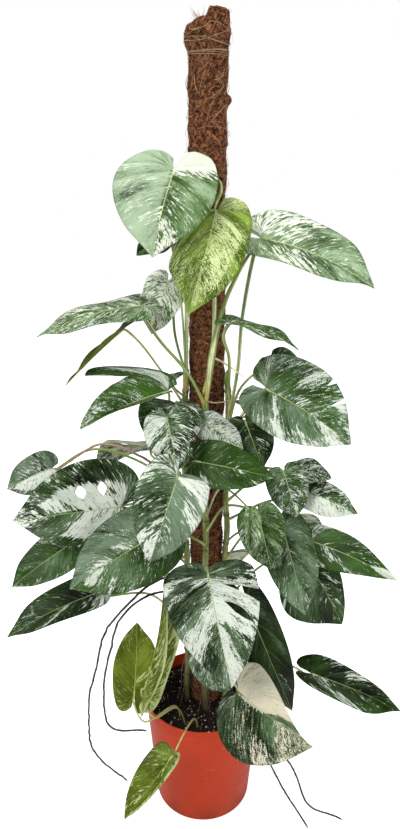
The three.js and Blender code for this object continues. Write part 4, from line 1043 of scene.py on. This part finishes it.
def strand_group():
    """Crossing strands: noise drawn out along two slanting ways, and how high the strands stand."""
    tree, net, given, out = node_group(
        "Fibre Strands", [("Vector", VECTOR, None), ("Across", FLOAT, 90.0), ("Along", FLOAT, 9.0)],
        [("Strands", FLOAT), ("Height", FLOAT)],
    )
    layers = []
    for turn in (0.5, -0.65, 1.35):
        x, y, z = net.split(net.scaled(given["Vector"], (1, 1, 1), (0, 0, turn)))
        vector = net.join(net.times(x, given["Across"]), net.times(y, given["Along"]), z)
        layers.append(net.noise(vector, 1.0, 3.0, 0.6, 0.6))
    top = net.math("MAXIMUM", net.math("MAXIMUM", layers[0], layers[1]), layers[2])
    net.tree.links.new(net.step(top, 0.5, 0.72), out["Strands"])
    net.tree.links.new(top, out["Height"])
    return tree


def coir_finish(name, strands, dark, mid, light, across=760.0, along=90.0):
    """Coconut fibre: reddish strands and a few bleached ones, with painted shade: dark in the gaps between
    the strands, and darker in the deeper places that the marks give.
    """
    dark, mid, light = map(paint, (dark, mid, light))

    def shade(net):
        flat = net.drawn_out(0.2, 1.5)
        got = net.group(strands, {"Vector": flat, "Across": across, "Along": along})
        depth, bright, _ = net.numbers("marks")
        patchy = net.noise(net.scaled(net.place(), (150, 150, 190)), 1.0, 3.0)
        # Painted shade: the low places between the strands take the dark colour
        skin = net.mix(net.step(net.total((got["Height"], 0.8), (patchy, 0.35)), 0.54, 0.72), dark, mid)
        pale = net.times(got["Strands"], net.step(patchy, 0.3, 0.7, 0.25, 0.85))
        skin = net.mix(pale, skin, light)
        # Painted shade in the mat's deep places and grooves
        skin = net.mix(net.times(depth, 0.6, clamp=True), skin, dark)
        skin = net.mix(bright, skin, light)
        return {"Base Color": skin, "Normal": net.bump(got["Height"], 1.0, 0.004)}

    return finish_of(name, shade, roughness=0.95, specular_ior_level=0.15)


def soil_finishes():
    """Potting mix, its perlite and its bark: each crumbly, each with its own colours."""
    made = []
    for name, dark, light, scale, depth in (
        ("potting_mix", "#0a0605", "#2e2018", 260, 0.003), ("perlite", "#c4beb2", "#f4f1ea", 500, 0.0006),
        ("bark_chips", "#24170f", "#6a452a", 300, 0.001), ("moist_wall", "#120e0c", "#2a201a", 200, 0.001),
    ):
        def shade(net, dark=paint(dark), light=paint(light), scale=scale, depth=depth):
            crumb = net.noise(net.scaled(net.place(), (scale,) * 3), 1.0, 5.0, 0.65)
            blotch = net.noise(net.scaled(net.place(), (scale / 9,) * 3), 1.0, 2.0)
            skin = net.mix(net.step(net.total((crumb, 0.7), (blotch, 0.3)), 0.42, 0.68), dark, light)
            return {"Base Color": skin, "Roughness": net.step(crumb, 0.2, 0.8, 0.75, 1.0),
                    "Normal": net.bump(crumb, 0.8, depth)}
        made.append(finish_of("monstera_" + name, shade, specular_ior_level=0.2))
    return made


def pot_finish(colour, dusty):
    """Moulded terracotta-coloured plastic: an even colour with faint clouds, fine flow lines round it,
    dull scuffs, and a little soil dust that gathers low down."""
    def shade(net):
        _, _, z = net.split(net.place())
        cloud = net.noise(net.scaled(net.place(), (9, 9, 5)), 1.0, 3.0)
        fine = net.noise(net.scaled(net.place(), (420, 420, 420)), 1.0, 2.0)
        lines = net.noise(net.scaled(net.place(), (3, 3, 420)), 1.0, 2.0)
        scuff = net.noise(net.scaled(net.place(), (30, 30, 90)), 1.0, 5.0, 0.7)
        skin = net.mix(net.step(cloud, 0.3, 0.75), darker(colour, 1), darker(colour, 0.8))
        skin = net.mix(net.step(scuff, 0.6, 0.78, 0.0, 0.4), skin, paint("#d98a70"))
        dust = net.times(net.step(z, 0.06, 0.0), net.step(cloud, 0.35, 0.65, 0.2, 1.0))
        skin = net.mix(net.times(dust, dusty), skin, paint("#5a4034"))
        rough = net.total(net.step(scuff, 0.45, 0.8, 0.36, 0.6), (fine, 0.08), (dust, 0.2))
        height = net.total((fine, 0.25), (lines, 0.6), (scuff, 0.3))
        return {"Base Color": skin, "Roughness": rough, "Normal": net.bump(height, 0.25, 0.0006)}

    return finish_of("monstera_pot_plastic", shade, specular_ior_level=0.14)


def root_finish():
    """Aerial root: grey-brown bark with fine wrinkles along it; a young one is tan, and one that has just
    come out is cream."""
    dark, light, warm, fresh = map(paint, ("#2a2224", "#5c5052", "#a3866a", "#e6d9ae"))

    def shade(net):
        drawn = net.drawn_out(5.0, 60.0)
        warmth, young, _ = net.numbers("marks")
        wrinkles = net.noise(drawn, 1.0, 4.0, 0.6)
        blotch = net.noise(net.scaled(net.place(), (60, 60, 60)), 1.0, 3.0)
        skin = net.mix(net.step(net.total((wrinkles, 0.6), (blotch, 0.4)), 0.4, 0.65), dark, light)
        skin = net.mix(net.times(warmth, 0.7), skin, warm)
        skin = net.mix(net.times(young, 0.85), skin, fresh)
        return {"Base Color": skin, "Roughness": net.step(blotch, 0.2, 0.8, 0.6, 0.85),
                "Normal": net.bump(wrinkles, 0.5, 0.001)}

    return finish_of("monstera_aerial_root", shade, specular_ior_level=0.3)


def wood_finish():
    """Sawn wooden stake: long grain with darker lines."""
    def shade(net):
        grain = net.noise(net.scaled(net.place(), (220, 220, 9)), 1.0, 4.0, 0.6)
        skin = net.mix(net.step(grain, 0.4, 0.65), paint("#7d5c38"), paint("#b9925f"))
        return {"Base Color": skin, "Normal": net.bump(grain, 0.4, 0.001)}

    return finish_of("monstera_stake_wood", shade, roughness=0.8)


# The other pieces

def make_pot(settings, finish):
    """The pot: a tapered shell with a stepped rim band, a bead under the band and a foot ring."""
    height, rim, base = settings.height / MM, settings.rim_radius / MM, settings.base_radius / MM
    band = height - BAND_HEIGHT
    neck = rim - BAND_STEP
    corners = [
        (0, BOTTOM_RISE), (base - FOOT_RING - 2, BOTTOM_RISE), (base - FOOT_RING, 0), (base - 3, 0),
        (base, 3), (neck - 0.6, band - 5), (neck + 0.3, band - 1.5), (rim - 1, band), (rim - 0.8, band + 8),
        (rim - 0.3, height - 5), (rim, height - 1.2), (rim - 1.2, height), (rim - POT_WALL, height - 1),
        (neck - POT_WALL, band), (base - POT_WALL, POT_WALL + 1), (0, POT_WALL),
    ]
    form = Form()
    form.add(*turned(rounded(corners, POT_ROUNDING, 6), POT_SIDES))
    return form.piece("pot_shell", [finish], ["pot"])


def soil_height(x, y):
    """The soil's surface: a low dome, clods from three sizes of noise, and a slight heap by the pole."""
    radius = np.hypot(x, y)
    u, v = x / SOIL_SPAN + 0.5, y / SOIL_SPAN + 0.5
    clods = sum(high * noise(u, v, cells, cells, seed) for high, cells, seed in SOIL_CLODS)
    clods = clods * blend(SOIL_RADIUS + 1, SOIL_RADIUS - 9, radius)
    heap = 3 * np.exp(-((np.hypot(x - POLE_X, y - POLE_Y) - POLE_RADIUS) / 14) ** 2)
    return SOIL_LEVEL + SOIL_DOME * (1 - (radius / SOIL_RADIUS) ** 2) + clods + heap - SOIL_SUNK


def make_soil(settings, finishes):
    """Potting mix: a plug with a crumbly top, and on it crumbs, white perlite and chips of bark, strewn
    evenly over the circle by the square root of a random number."""
    def crumbly(r, turn, z):
        x, y = r * np.cos(TAU * turn), r * np.sin(TAU * turn)
        return r, np.where(z > SOIL_LEVEL - 1, soil_height(x, y), z)

    profile = [(0, 3.6), (97, 3.8), (119.8, 240), (120.4, SOIL_LEVEL)]
    profile += [(r, SOIL_LEVEL) for r in np.linspace(119.8, 0.8, SOIL_RINGS)]
    profile += [(0, SOIL_LEVEL + SOIL_DOME)]
    form = Form()
    form.add(*turned(profile, SOIL_SIDES, crumbly))
    rng = np.random.default_rng(SOIL_SEED)
    for finish, count, small, large, kind in (
        (0, settings.crumbs, 0.8, 3.0, "pebble"), (1, settings.perlite, 0.6, 2.2, "pebble"),
        (2, settings.bark, 2.0, 5.5, "chip"),
    ):
        radius, turn = GRAINS_WITHIN * np.sqrt(rng.random(count)), TAU * rng.random(count)
        x, y = radius * np.cos(turn), radius * np.sin(turn)
        clear = np.hypot(x - POLE_X, y - POLE_Y) > POLE_RADIUS + 2
        sizes = small + (large - small) * rng.random(count) ** 2
        lift = sizes * rng.uniform(0, 0.5, count)
        centres = np.stack([x, y, soil_height(x, y) + lift], 1)[clear]
        form.add(*grains(centres, sizes[clear], 20 + finish, kind), finish)
    return form.piece("potting_mix", finishes, ["potting_soil"])


def coir_relief(turn, z):
    """Coarse strands that wind up the pole as a helix, crossed by a finer one."""
    angle = TAU * np.where(turn > 0.5, turn - 1, turn)
    return 0.9 * (np.sin(3 * angle + z * 0.11) + 0.6 * np.sin(5 * angle - z * 0.19 + 1))


def pole_reach(turn, z):
    """The mat's radius and its tufts: the pole or its thicker cap, which bulges to the left over its
    waist, the knot, the coarse relief, wide lumps, and tufts that slant both ways up the pole."""
    radius = np.interp(z, *zip(*MAT_PROFILE))
    bulge = CAP_BULGE * blend(0.1, -0.9, np.cos(TAU * turn))
    radius = radius + bulge * np.exp(-((z - POLE_TOP + 30) / 15) ** 2)
    off = ((turn - KNOT_TURN + 0.5) % 1 - 0.5) * TAU * POLE_RADIUS
    radius = radius + KNOT_REACH * np.exp(-(off / 7) ** 2 - ((z - KNOT_HEIGHT) / 8) ** 4)
    v = z / POLE_TOP
    coarse, fine, coarse_back, fine_back = (noise(turn + slant * v, v, *cells) for slant, *cells in TUFTS)
    tufts = np.maximum(coarse + 0.6 * fine, coarse_back + 0.6 * fine_back)
    lumps = noise(turn, v, 7, 60, 35)
    capped = np.where(z > POLE_TOP - CAP_HEIGHT - 2, 1.47, 1.0)
    return radius + capped * (coir_relief(turn, z) + 1.1 * lumps) + 0.9 * (tufts - 0.35), tufts


def hood_drop(x, z):
    """How far the cap's top is drawn down on its left: the mat's end stands up on the right, and a
    shoulder slopes off beside it."""
    return (13 * blend(3, -5, x) + 9 * blend(-8, -34, x)) * blend(POLE_TOP - 56, POLE_TOP, z)


def rolled_mat():
    """The mat's places, faces, UV and the painted shade at each place, darker where the tufts sink low and
    in the grooves of the roll's spiral. Its side reaches as pole_reach says. On its top the places go in to
    the middle as a cosine, on a low dome with the roll's spiral as a sine."""
    rim = POLE_TOP - 5
    profile = [(0, POLE_FOOT - 1)] + [(1, z) for z in np.linspace(POLE_FOOT, rim, MAT_RINGS)]
    profile += [(k, POLE_TOP) for k in range(MAT_TOP_RINGS)] + [(0, POLE_TOP - 4)]
    depth = []

    def matted(_, turn, z):
        radius, tufts = pole_reach(turn[:MAT_RINGS], z[:MAT_RINGS])
        # Painted shade: the mat is darker where its tufts sink low
        depth.append(blend(0.45, -0.35, tufts))
        share = np.cos(np.linspace(0.2, 1, MAT_TOP_RINGS) * np.pi / 2)[:, None] * 0.97 + 0.02
        inward = radius[-1] * share
        spiral = np.sin(TAU * (inward / ROLL_PITCH - turn[:1]))
        rough = noise(turn[:1], share, 30, 12, 36)
        height = rim + 3.5 * np.sqrt(1 - share ** 2) + spiral + 0.8 * rough
        # Painted shade in the grooves of the spiral on the top
        depth.append(blend(0.2, -0.9, spiral) + 0 * inward)
        return np.vstack([radius, inward]), np.vstack([z[:MAT_RINGS], height])

    places, faces, uv = turned(profile, MAT_SIDES, matted)
    places[:, 2] -= hood_drop(places[:, 0], places[:, 2])
    return places + (POLE_X, POLE_Y, 0), faces, uv, np.concatenate([np.vstack(depth).ravel(), [0, 0.5]])


def loose_fibres(count):
    """Short curls that lie on the mat, some of them a tuft that stands up from the cap. Each is a line at
    a slant with a bend as a square. Gives places, faces, UV and how bleached each place is."""
    rng = np.random.default_rng(FIBRE_SEED)
    s = np.linspace(-0.5, 0.5, 7)[None]

    def pick(low, high):
        return rng.uniform(low, high, (count, 1))

    z = pick(SOIL_LEVEL + 8, POLE_TOP - 6)
    way, length, curl, lift = pick(-1.3, 1.3), pick(14, 46), pick(-14, 14), pick(0.4, 3.4) ** 1.3
    angle = pick(0, TAU) + (length * s * np.cos(way) - curl * s ** 2 * np.sin(way)) / POLE_RADIUS
    high = np.minimum(z + length * s * np.sin(way) + curl * s ** 2 * np.cos(way) * 2, POLE_TOP - 4)
    reach = pole_reach(angle / TAU % 1, high)[0] - 0.3 + lift * (1 - 4 * (s - pick(-0.3, 0.3)) ** 2)
    outward = np.stack([np.cos(angle), np.sin(angle), 0 * angle], -1)
    paths = outward * reach[..., None]
    paths[..., 2] = high - hood_drop(paths[..., 0], high)
    tuft = rng.random((count, 1)) < TUFT_SHARE
    ahead = np.stack([pick(-0.9, 0.3), pick(-0.5, 0.5), 1 + 0 * way], -1)
    ahead = ahead * (s + 0.5)[..., None] * pick(8, 19)[..., None]
    root = np.stack([pick(-24, -6), pick(-20, 10), POLE_TOP - 20 + 0 * way], -1)
    paths = np.where(tuft[..., None], root + ahead, paths) + (POLE_X, POLE_Y, 0)
    thick = pick(0.16, 0.4) * (1 - 1.6 * s ** 2)
    places, faces, uv = strands(paths, thick, 3, outward)
    return places, faces, uv, np.repeat(rng.uniform(0, 1, count) ** 2, len(places) // count)


def make_pole(settings, finishes):
    """Coir pole: the rolled mat with its thicker cap, and the loose fibres on it."""
    form = Form()
    # dark is the painted shade in the mat's low places and grooves, which the coir finish reads
    places, faces, uv, dark = rolled_mat()
    form.add(places, faces, uv, 0, np.stack([dark, 0 * dark, 0 * dark], 1))
    places, faces, uv, bright = loose_fibres(settings.fibres)
    form.add(places, faces, uv, 1, np.stack([0 * bright, bright, 0 * bright], 1))
    return form.piece("coir_mat", finishes, ["coir_pole"])


def make_twine(finish):
    """Two yarns twisted round each other, wound tightly round the cap: four turns close together at its
    waist, and three above them that cross."""
    turn = np.linspace(0, (WAIST_TURNS + CROSSING_TURNS) * TAU, 900)[None]
    outward = np.stack([np.cos(turn), np.sin(turn), 0 * turn], -1)
    twist = 34 * turn + np.array([[0], [np.pi]])
    over = blend(WAIST_TURNS * TAU, (WAIST_TURNS + 0.5) * TAU, turn)
    z = POLE_TOP - CAP_HEIGHT + 5 + 1.6 * turn / TAU + 1.4 * np.sin(0.8 * turn)
    z = z + over * (13 + 4 * turn / TAU - 16 + 9 * np.sin(1.37 * turn)) + 0.4 * np.sin(twist)
    reach = pole_reach(turn / TAU % 1, z)[0] + 0.7 + 0.4 * np.cos(twist)
    paths = outward * reach[..., None]
    paths[..., 2] = z - hood_drop(paths[..., 0], z)
    paths = paths + (POLE_X, POLE_Y, 0)
    form = Form()
    form.add(*strands(paths, YARN_RADIUS, 6, np.broadcast_to(outward, paths.shape)), 0, (0, 0.25, 0))
    return form.piece("twine_turns", [finish], ["pole_twine"])


def root_stubs(name, rng):
    """Two stubs of roots at each node of a stem, towards the pole and dropping as a square."""
    turn, top = STEMS[name]
    count = 2 * int((top - SOIL_LEVEL) / STEM_NODE)
    nodes = (np.arange(count) // 2 + math.ceil(SOIL_LEVEL / STEM_NODE)) * STEM_NODE
    start = stem_point(name, nodes + rng.uniform(-6, 6, count))
    aim = math.radians(turn) + np.pi + rng.uniform(-1.2, 1.2, count)
    s = np.linspace(0, 1, 6)[None, :, None]
    reach = rng.uniform(9, 17, (count, 1, 1))
    ahead = np.stack([np.cos(aim), np.sin(aim), 0 * aim], -1)[:, None]
    paths = start[:, None] + ahead * reach * s - np.array([0, 0, 1]) * 6 * s ** 2
    upward = np.broadcast_to(np.array([0, 0, 1.0]), paths.shape)
    return strands(paths, 1.5 - 0.9 * s[..., 0], 6, upward)


def thin_roots(name, rng):
    """Thin roots from a stem's lowest nodes down to the soil, spread as a sine and wavering as another."""
    s = np.linspace(0, 1, 16)[None, :, None]
    start = stem_point(name, rng.uniform(270, 420, THIN_ROOTS))[:, None]
    aim = math.radians(STEMS[name][0]) + rng.uniform(-1.3, 1.3, (THIN_ROOTS, 1, 1))
    spread = rng.uniform(6, 26, (THIN_ROOTS, 1, 1)) * np.sin(1.3 * s) + 2 * np.sin(11 * s + aim)
    fall = (SOIL_LEVEL - start[..., 2:]) * s
    paths = start + np.concatenate([np.cos(aim) * spread, np.sin(aim) * spread, fall], -1)
    outward = np.concatenate([np.cos(aim), np.sin(aim), 0 * aim], -1)
    return strands(paths, 0.9 - 0.3 * s[..., 0], 6, np.broadcast_to(outward, paths.shape))


def make_stem(name, finishes):
    """A climbing stem: round, swollen in a ring at each node as a bell curve, closed in a blunt bud at
    its top, with its stubs, its thin and short roots and its young stalks."""
    turn, top = STEMS[name]
    z = np.linspace(STEM_FOOT, top, STEM_RINGS)
    nearest = np.abs((z / STEM_NODE + 0.5) % 1 - 0.5) * STEM_NODE
    ring = np.exp(-(nearest / 2.6) ** 2)
    waist = np.exp(-((nearest - 9) / 7) ** 2)
    radii = STEM_RADIUS * (1 + 0.17 * ring - 0.06 * waist) * blend(0, 16, top - z) ** 0.5
    places, faces, uv = sweep(stem_point(name, z), np.maximum(radii, 0.4), STEM_SIDES)
    marks = np.zeros((len(places), 3))
    marks[:-2, 0] = np.repeat(ring, STEM_SIDES)
    form = Form()
    form.add(places, faces, uv, 0, marks)
    rng = np.random.default_rng(len(name) + abs(turn))
    form.add(*root_stubs(name, rng), 1)
    form.add(*thin_roots(name, rng), 1, (0.5, 0, 0))
    run = np.linspace(0, 1, SHORT_ROOT_RINGS)
    for warm, young, radius, points in SHORT_ROOTS.get(name, ()):
        path = smooth_path(points, SHORT_ROOT_RINGS)
        form.add(*sweep(path, radius * (1 - 0.6 * run ** 2), 8), 1, (warm, young, 0))
    run = np.linspace(0, 1, STALK_RINGS)
    for points, radii in STALKS.get(name, ()):
        radii = np.interp(run, np.linspace(0, 1, len(radii)), radii)
        form.add(*sweep(smooth_path(points, STALK_RINGS), radii, 12), 2, (0, 0, 0), (STALK_SEED, 0, 0))
    return form.piece("monstera_stem_" + name, finishes, ["stem_" + name])


def make_root(name, root, finish):
    """An aerial root: a thin tube that wavers a little on its way, thins to its tip and rests on the
    floor where it reaches it. Its corners are rounded by a running mean."""
    path = smooth_path(root["points"], 30 * len(root["points"]))
    bent = np.pad(path, ((ROOT_MEAN, ROOT_MEAN), (0, 0)), "reflect", reflect_type="odd")
    window = 2 * ROOT_MEAN + 1
    path = np.stack([np.convolve(line, np.full(window, 1 / window), "valid") for line in bent.T], 1)
    run = np.linspace(0, 1, len(path))
    seed, cells = len(name), 5 * len(root["points"])
    waver = np.stack([noise(0 * run + 0.1 * k, run, 8, cells, seed + k) for k in range(3)], 1)
    radii = ROOT_RADIUS * (1.4 - 0.35 * run) * (1 + 0.1 * noise(0 * run, run, 4, 90, seed + 5))
    rooted = blend(0, 0.06, run)
    loose = (rooted * blend(4, 30, path[:, 2]))[:, None]
    path = path + 0.5 * waver * loose + np.array([1, 1, 0]) * 0.4 * waver * rooted[:, None]
    path[:, 2] = np.maximum(path[:, 2] - 0.4, radii)
    radii[-len(ROOT_TIP):] *= ROOT_TIP
    form = Form()
    form.add(*sweep(path, radii, 9), 0, (root["warm"], 0, 0))
    return form.piece("monstera_" + name, [finish], [name])


def make_floor(settings):
    """A pale floor that ends in white: it adds its own light, towards the camera alone."""
    mesh = bpy.data.meshes.new("stage_floor")
    corners = [(FLOOR_REACH * x, FLOOR_REACH * y, 0) for x, y in ((-1, -1), (1, -1), (1, 1), (-1, 1))]
    mesh.from_pydata(corners, [], [(0, 1, 2, 3)])
    floor = bpy.data.objects.new("stage_floor", mesh)
    bpy.context.scene.collection.objects.link(floor)

    def shade(net):
        cloud = net.noise(net.place(), 1.5, 2.0)
        colour = tuple(settings.floor_colour) + (1.0,)
        seen = net.put("ShaderNodeLightPath")
        return {"Base Color": net.mix(net.step(cloud, 0.3, 0.7, 0.0, 0.05), colour, (0.7, 0.7, 0.7, 1.0)),
                "Emission Strength": net.times(seen, settings.floor_glow)}

    mesh.materials.append(finish_of("stage_floor_paint", shade, roughness=0.9, emission_color=(1, 1, 1, 1)))


def make_stage(settings):
    """The floor, a soft sky, three large soft lights and the camera at the photograph's angle."""
    scene = bpy.context.scene
    make_floor(settings)
    world = bpy.data.worlds.new("stage_sky")
    scene.world = world
    world.use_nodes = True
    net = Net(world.node_tree)
    world.node_tree.nodes.clear()
    lit = net.put("ShaderNodeBackground", {"Color": (0.93, 0.97, 1.0, 1.0), "Strength": settings.sky})
    seen = net.put("ShaderNodeBackground", {"Color": (1.0, 1.0, 1.0, 1.0), "Strength": 1.0})
    straight = net.put("ShaderNodeLightPath")
    sky = net.put("ShaderNodeMixShader", {0: straight, 1: lit, 2: seen})
    net.put("ShaderNodeOutputWorld", {0: sky}, None)
    for name, place, aim, size, power in LIGHTS:
        light = bpy.data.lights.new(name, "AREA")
        light.size, light.energy = size, settings.key_power * power
        lamp = bpy.data.objects.new(name, light)
        scene.collection.objects.link(lamp)
        lamp.location = place
        way = Vector(aim) - Vector(place)
        lamp.rotation_euler = way.to_track_quat("-Z", "Y").to_euler()
    camera = bpy.data.objects.new("camera", bpy.data.cameras.new("camera"))
    scene.collection.objects.link(camera)
    camera.location = CAMERA_PLACE
    camera.rotation_euler = (math.radians(CAMERA_TIP), 0, 0)
    camera.data.sensor_width, camera.data.lens = SENSOR, SENSOR * LENS_IN_PIXELS / PICTURE_HEIGHT
    camera.data.clip_start, camera.data.clip_end = 0.05, 60
    scene.camera = camera
    scene.view_settings.view_transform = "Standard"


# Settings that a user would change

def length(name, about, default):
    """A length in metres."""
    return bpy.props.FloatProperty(name=name, description=about, default=default, min=0, unit="LENGTH")


def share(name, about, default, most=1.0):
    """A part of the whole, or a strength where most is over 1."""
    return bpy.props.FloatProperty(name=name, description=about, default=default, min=0, max=most)


def amount(name, about, default):
    """How many there are."""
    return bpy.props.IntProperty(name=name, description=about, default=default, min=0)


def colour(name, about, text):
    """A colour, whose default is written as in a web page."""
    return bpy.props.FloatVectorProperty(name=name, description=about, default=paint(text)[:3],
                                         subtype="COLOR", min=0, max=1)


class PotSettings(bpy.types.PropertyGroup):
    height: length("Height", "Height of the pot over the floor", POT_HEIGHT * MM)
    rim_radius: length("Rim Radius", "Radius of the rim band", RIM_RADIUS * MM)
    base_radius: length("Base Radius", "Radius of the pot at its foot", BASE_RADIUS * MM)
    plastic: colour("Plastic", "Colour of the moulded plastic", "#b63613")
    dust: share("Dust", "How much soil dust lies on the pot", 0.35)


class SoilSettings(bpy.types.PropertyGroup):
    crumbs: amount("Crumbs", "Loose dark crumbs on the soil", 700)
    perlite: amount("Perlite", "White grains on the soil", 420)
    bark: amount("Bark", "Chips of bark on the soil", 240)


class PoleSettings(bpy.types.PropertyGroup):
    fibres: amount("Fibres", "Loose fibres on the mat", 1500)


class LeafSettings(bpy.types.PropertyGroup):
    margin_thickness: length("Margin Thickness", "Thickness of a blade near its margin", 0.0006)
    rib_thickness: length("Rib Thickness", "What the blade is thicker by along its rib", 0.0007)


class StageSettings(bpy.types.PropertyGroup):
    floor_colour: colour("Floor", "Colour of the floor", "#f4f4f2")
    floor_glow: share("Floor Glow", "Light that the floor adds towards the camera", 0.62)
    sky: share("Sky", "Strength of the light from all round", 0.34, 10.0)
    key_power: bpy.props.FloatProperty(name="Key Power", description="Power of the main light",
                                       default=200, min=0, unit="POWER")


class MonsteraSettings(bpy.types.PropertyGroup):
    pot: bpy.props.PointerProperty(type=PotSettings, name="Pot", description="Sizes and finish of the pot")
    soil: bpy.props.PointerProperty(type=SoilSettings, name="Soil", description="What lies on the soil")
    pole: bpy.props.PointerProperty(type=PoleSettings, name="Pole", description="The coir pole's fibres")
    leaves: bpy.props.PointerProperty(type=LeafSettings, name="Leaves", description="Thickness of blades")
    stage: bpy.props.PointerProperty(type=StageSettings, name="Stage", description="Floor and lights")


# Operators

STALK_FOOT = "#c9a95a"
GREEN_UNDER = ("#14240c", "#3c562c", "#6c8264", "#c6cab0", "#93a170")

# Each kind of leaf: dark, light, silver, white and rib on its upper and on its under side, and its petiole
SKINS = {
    "green": (("#040c00", "#325214", "#6c7f68", "#d2d8cb", "#93a762"), GREEN_UNDER, "#708a3a"),
    "cream": (("#040c00", "#325214", "#6c7f68", "#d5ccb4", "#93a762"), GREEN_UNDER, "#708a3a"),
    "fresh": (("#142d02", "#4a6f1e", "#9db192", "#dcdfcf", "#b9c67c"),
              ("#28421a", "#52703c", "#7f9871", "#ccd1b8", "#a8b680"), "#708a3a"),
    "lime": (("#2f4203", "#65801a", "#8ea548", "#c9d39b", "#b2c06c"),
             ("#55701a", "#7f9838", "#9db25f", "#c8d29a", "#b3c274"), "#708a3a"),
    "olive": (("#3a4505", "#5f7214", "#7f9038", "#bcc488", "#8b9a40"),
              ("#3f4a08", "#66781a", "#82923c", "#b8c085", "#8b9a40"), "#a09b52"),
}


class MONSTERA_OT_pot(bpy.types.Operator):
    """Make the pot with its rim band and foot ring"""
    bl_idname = "monstera.pot"
    bl_label = "Pot"

    def execute(self, context):
        settings = context.scene.monstera.pot
        make_pot(settings, pot_finish(settings.plastic, settings.dust))
        return {"FINISHED"}


class MONSTERA_OT_soil(bpy.types.Operator):
    """Fill the pot with potting mix, perlite and bark"""
    bl_idname = "monstera.soil"
    bl_label = "Potting Soil"

    def execute(self, context):
        make_soil(context.scene.monstera.soil, soil_finishes())
        return {"FINISHED"}


class MONSTERA_OT_pole(bpy.types.Operator):
    """Make the coir pole, the twine on its cap and the finish of its stake"""
    bl_idname = "monstera.pole"
    bl_label = "Coir Pole"

    def execute(self, context):
        strands_tree = strand_group()
        mat = coir_finish("coir_mat", strands_tree, "#0a0301", "#7c3f1e", "#cc9468")
        fibre = coir_finish("coir_fibre", strands_tree, "#3a190c", "#8c4e2c", "#dfb58c", 4.0, 2.0)
        twine = coir_finish("coir_twine", strands_tree, "#80603f", "#b48f66", "#dfc69c", 8.0, 40.0)
        make_pole(context.scene.monstera.pole, [mat, fibre])
        make_twine(twine)
        wood = wood_finish()
        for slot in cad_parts["pole_core"].material_slots:
            slot.material = wood
        return {"FINISHED"}


class MONSTERA_OT_stems(bpy.types.Operator):
    """Make the four climbing stems"""
    bl_idname = "monstera.stems"
    bl_label = "Stems"

    def execute(self, context):
        stalk = petiole_finish("young_stalk", "#7f9644", "#dcdcac", STALK_FOOT)
        finishes = [stem_finish(), root_finish(), stalk]
        for name in STEMS:
            make_stem(name, finishes)
        return {"FINISHED"}


class MONSTERA_OT_leaves(bpy.types.Operator):
    """Make all leaves with their petioles"""
    bl_idname = "monstera.leaves"
    bl_label = "Leaves"

    def execute(self, context):
        tree = variegation_group()
        finishes = {}
        for kind, (upper, under, stalk) in SKINS.items():
            finishes[kind] = [
                blade_finish("blade_%s_upper" % kind, tree, upper, False),
                blade_finish("blade_%s_under" % kind, tree, under, True),
                petiole_finish("petiole_" + kind, stalk, "#d6d9a4", STALK_FOOT),
            ]
        for number, leaf in LEAVES.items():
            make_leaf(number, leaf, context.scene.monstera.leaves, finishes)
        return {"FINISHED"}


class MONSTERA_OT_roots(bpy.types.Operator):
    """Make the aerial roots"""
    bl_idname = "monstera.roots"
    bl_label = "Aerial Roots"

    def execute(self, context):
        finish = root_finish()
        for name, root in ROOTS.items():
            make_root(name, root, finish)
        return {"FINISHED"}


class MONSTERA_OT_stage(bpy.types.Operator):
    """Set the floor, the lights and the camera"""
    bl_idname = "monstera.stage"
    bl_label = "Stage"

    def execute(self, context):
        make_stage(context.scene.monstera.stage)
        return {"FINISHED"}


OPERATORS = (
    MONSTERA_OT_pot, MONSTERA_OT_soil, MONSTERA_OT_pole, MONSTERA_OT_stems, MONSTERA_OT_leaves,
    MONSTERA_OT_roots, MONSTERA_OT_stage,
)


class MONSTERA_PT_panel(bpy.types.Panel):
    """The pieces of the plant, each with its settings"""
    bl_idname = "MONSTERA_PT_panel"
    bl_label = "Potted Monstera"
    bl_space_type = "VIEW_3D"
    bl_region_type = "UI"
    bl_category = "Monstera"

    def draw(self, context):
        settings = context.scene.monstera
        for operator in OPERATORS:
            self.layout.operator(operator.bl_idname)
            group = getattr(settings, operator.bl_idname.split(".")[1], None)
            for title in type(group).__annotations__ if group else ():
                self.layout.prop(group, title)


CLASSES = (
    PotSettings, SoilSettings, PoleSettings, LeafSettings, StageSettings, MonsteraSettings, *OPERATORS,
    MONSTERA_PT_panel,
)


def register():
    for item in CLASSES:
        bpy.utils.register_class(item)
    bpy.types.Scene.monstera = bpy.props.PointerProperty(type=MonsteraSettings)


def unregister():
    del bpy.types.Scene.monstera
    for item in reversed(CLASSES):
        bpy.utils.unregister_class(item)


def main():
    """Builds every piece in order."""
    register()
    bpy.ops.monstera.pot()
    bpy.ops.monstera.soil()
    bpy.ops.monstera.pole()
    bpy.ops.monstera.stems()
    bpy.ops.monstera.leaves()
    bpy.ops.monstera.roots()
    bpy.ops.monstera.stage()


if __name__ == "__main__":
    main()
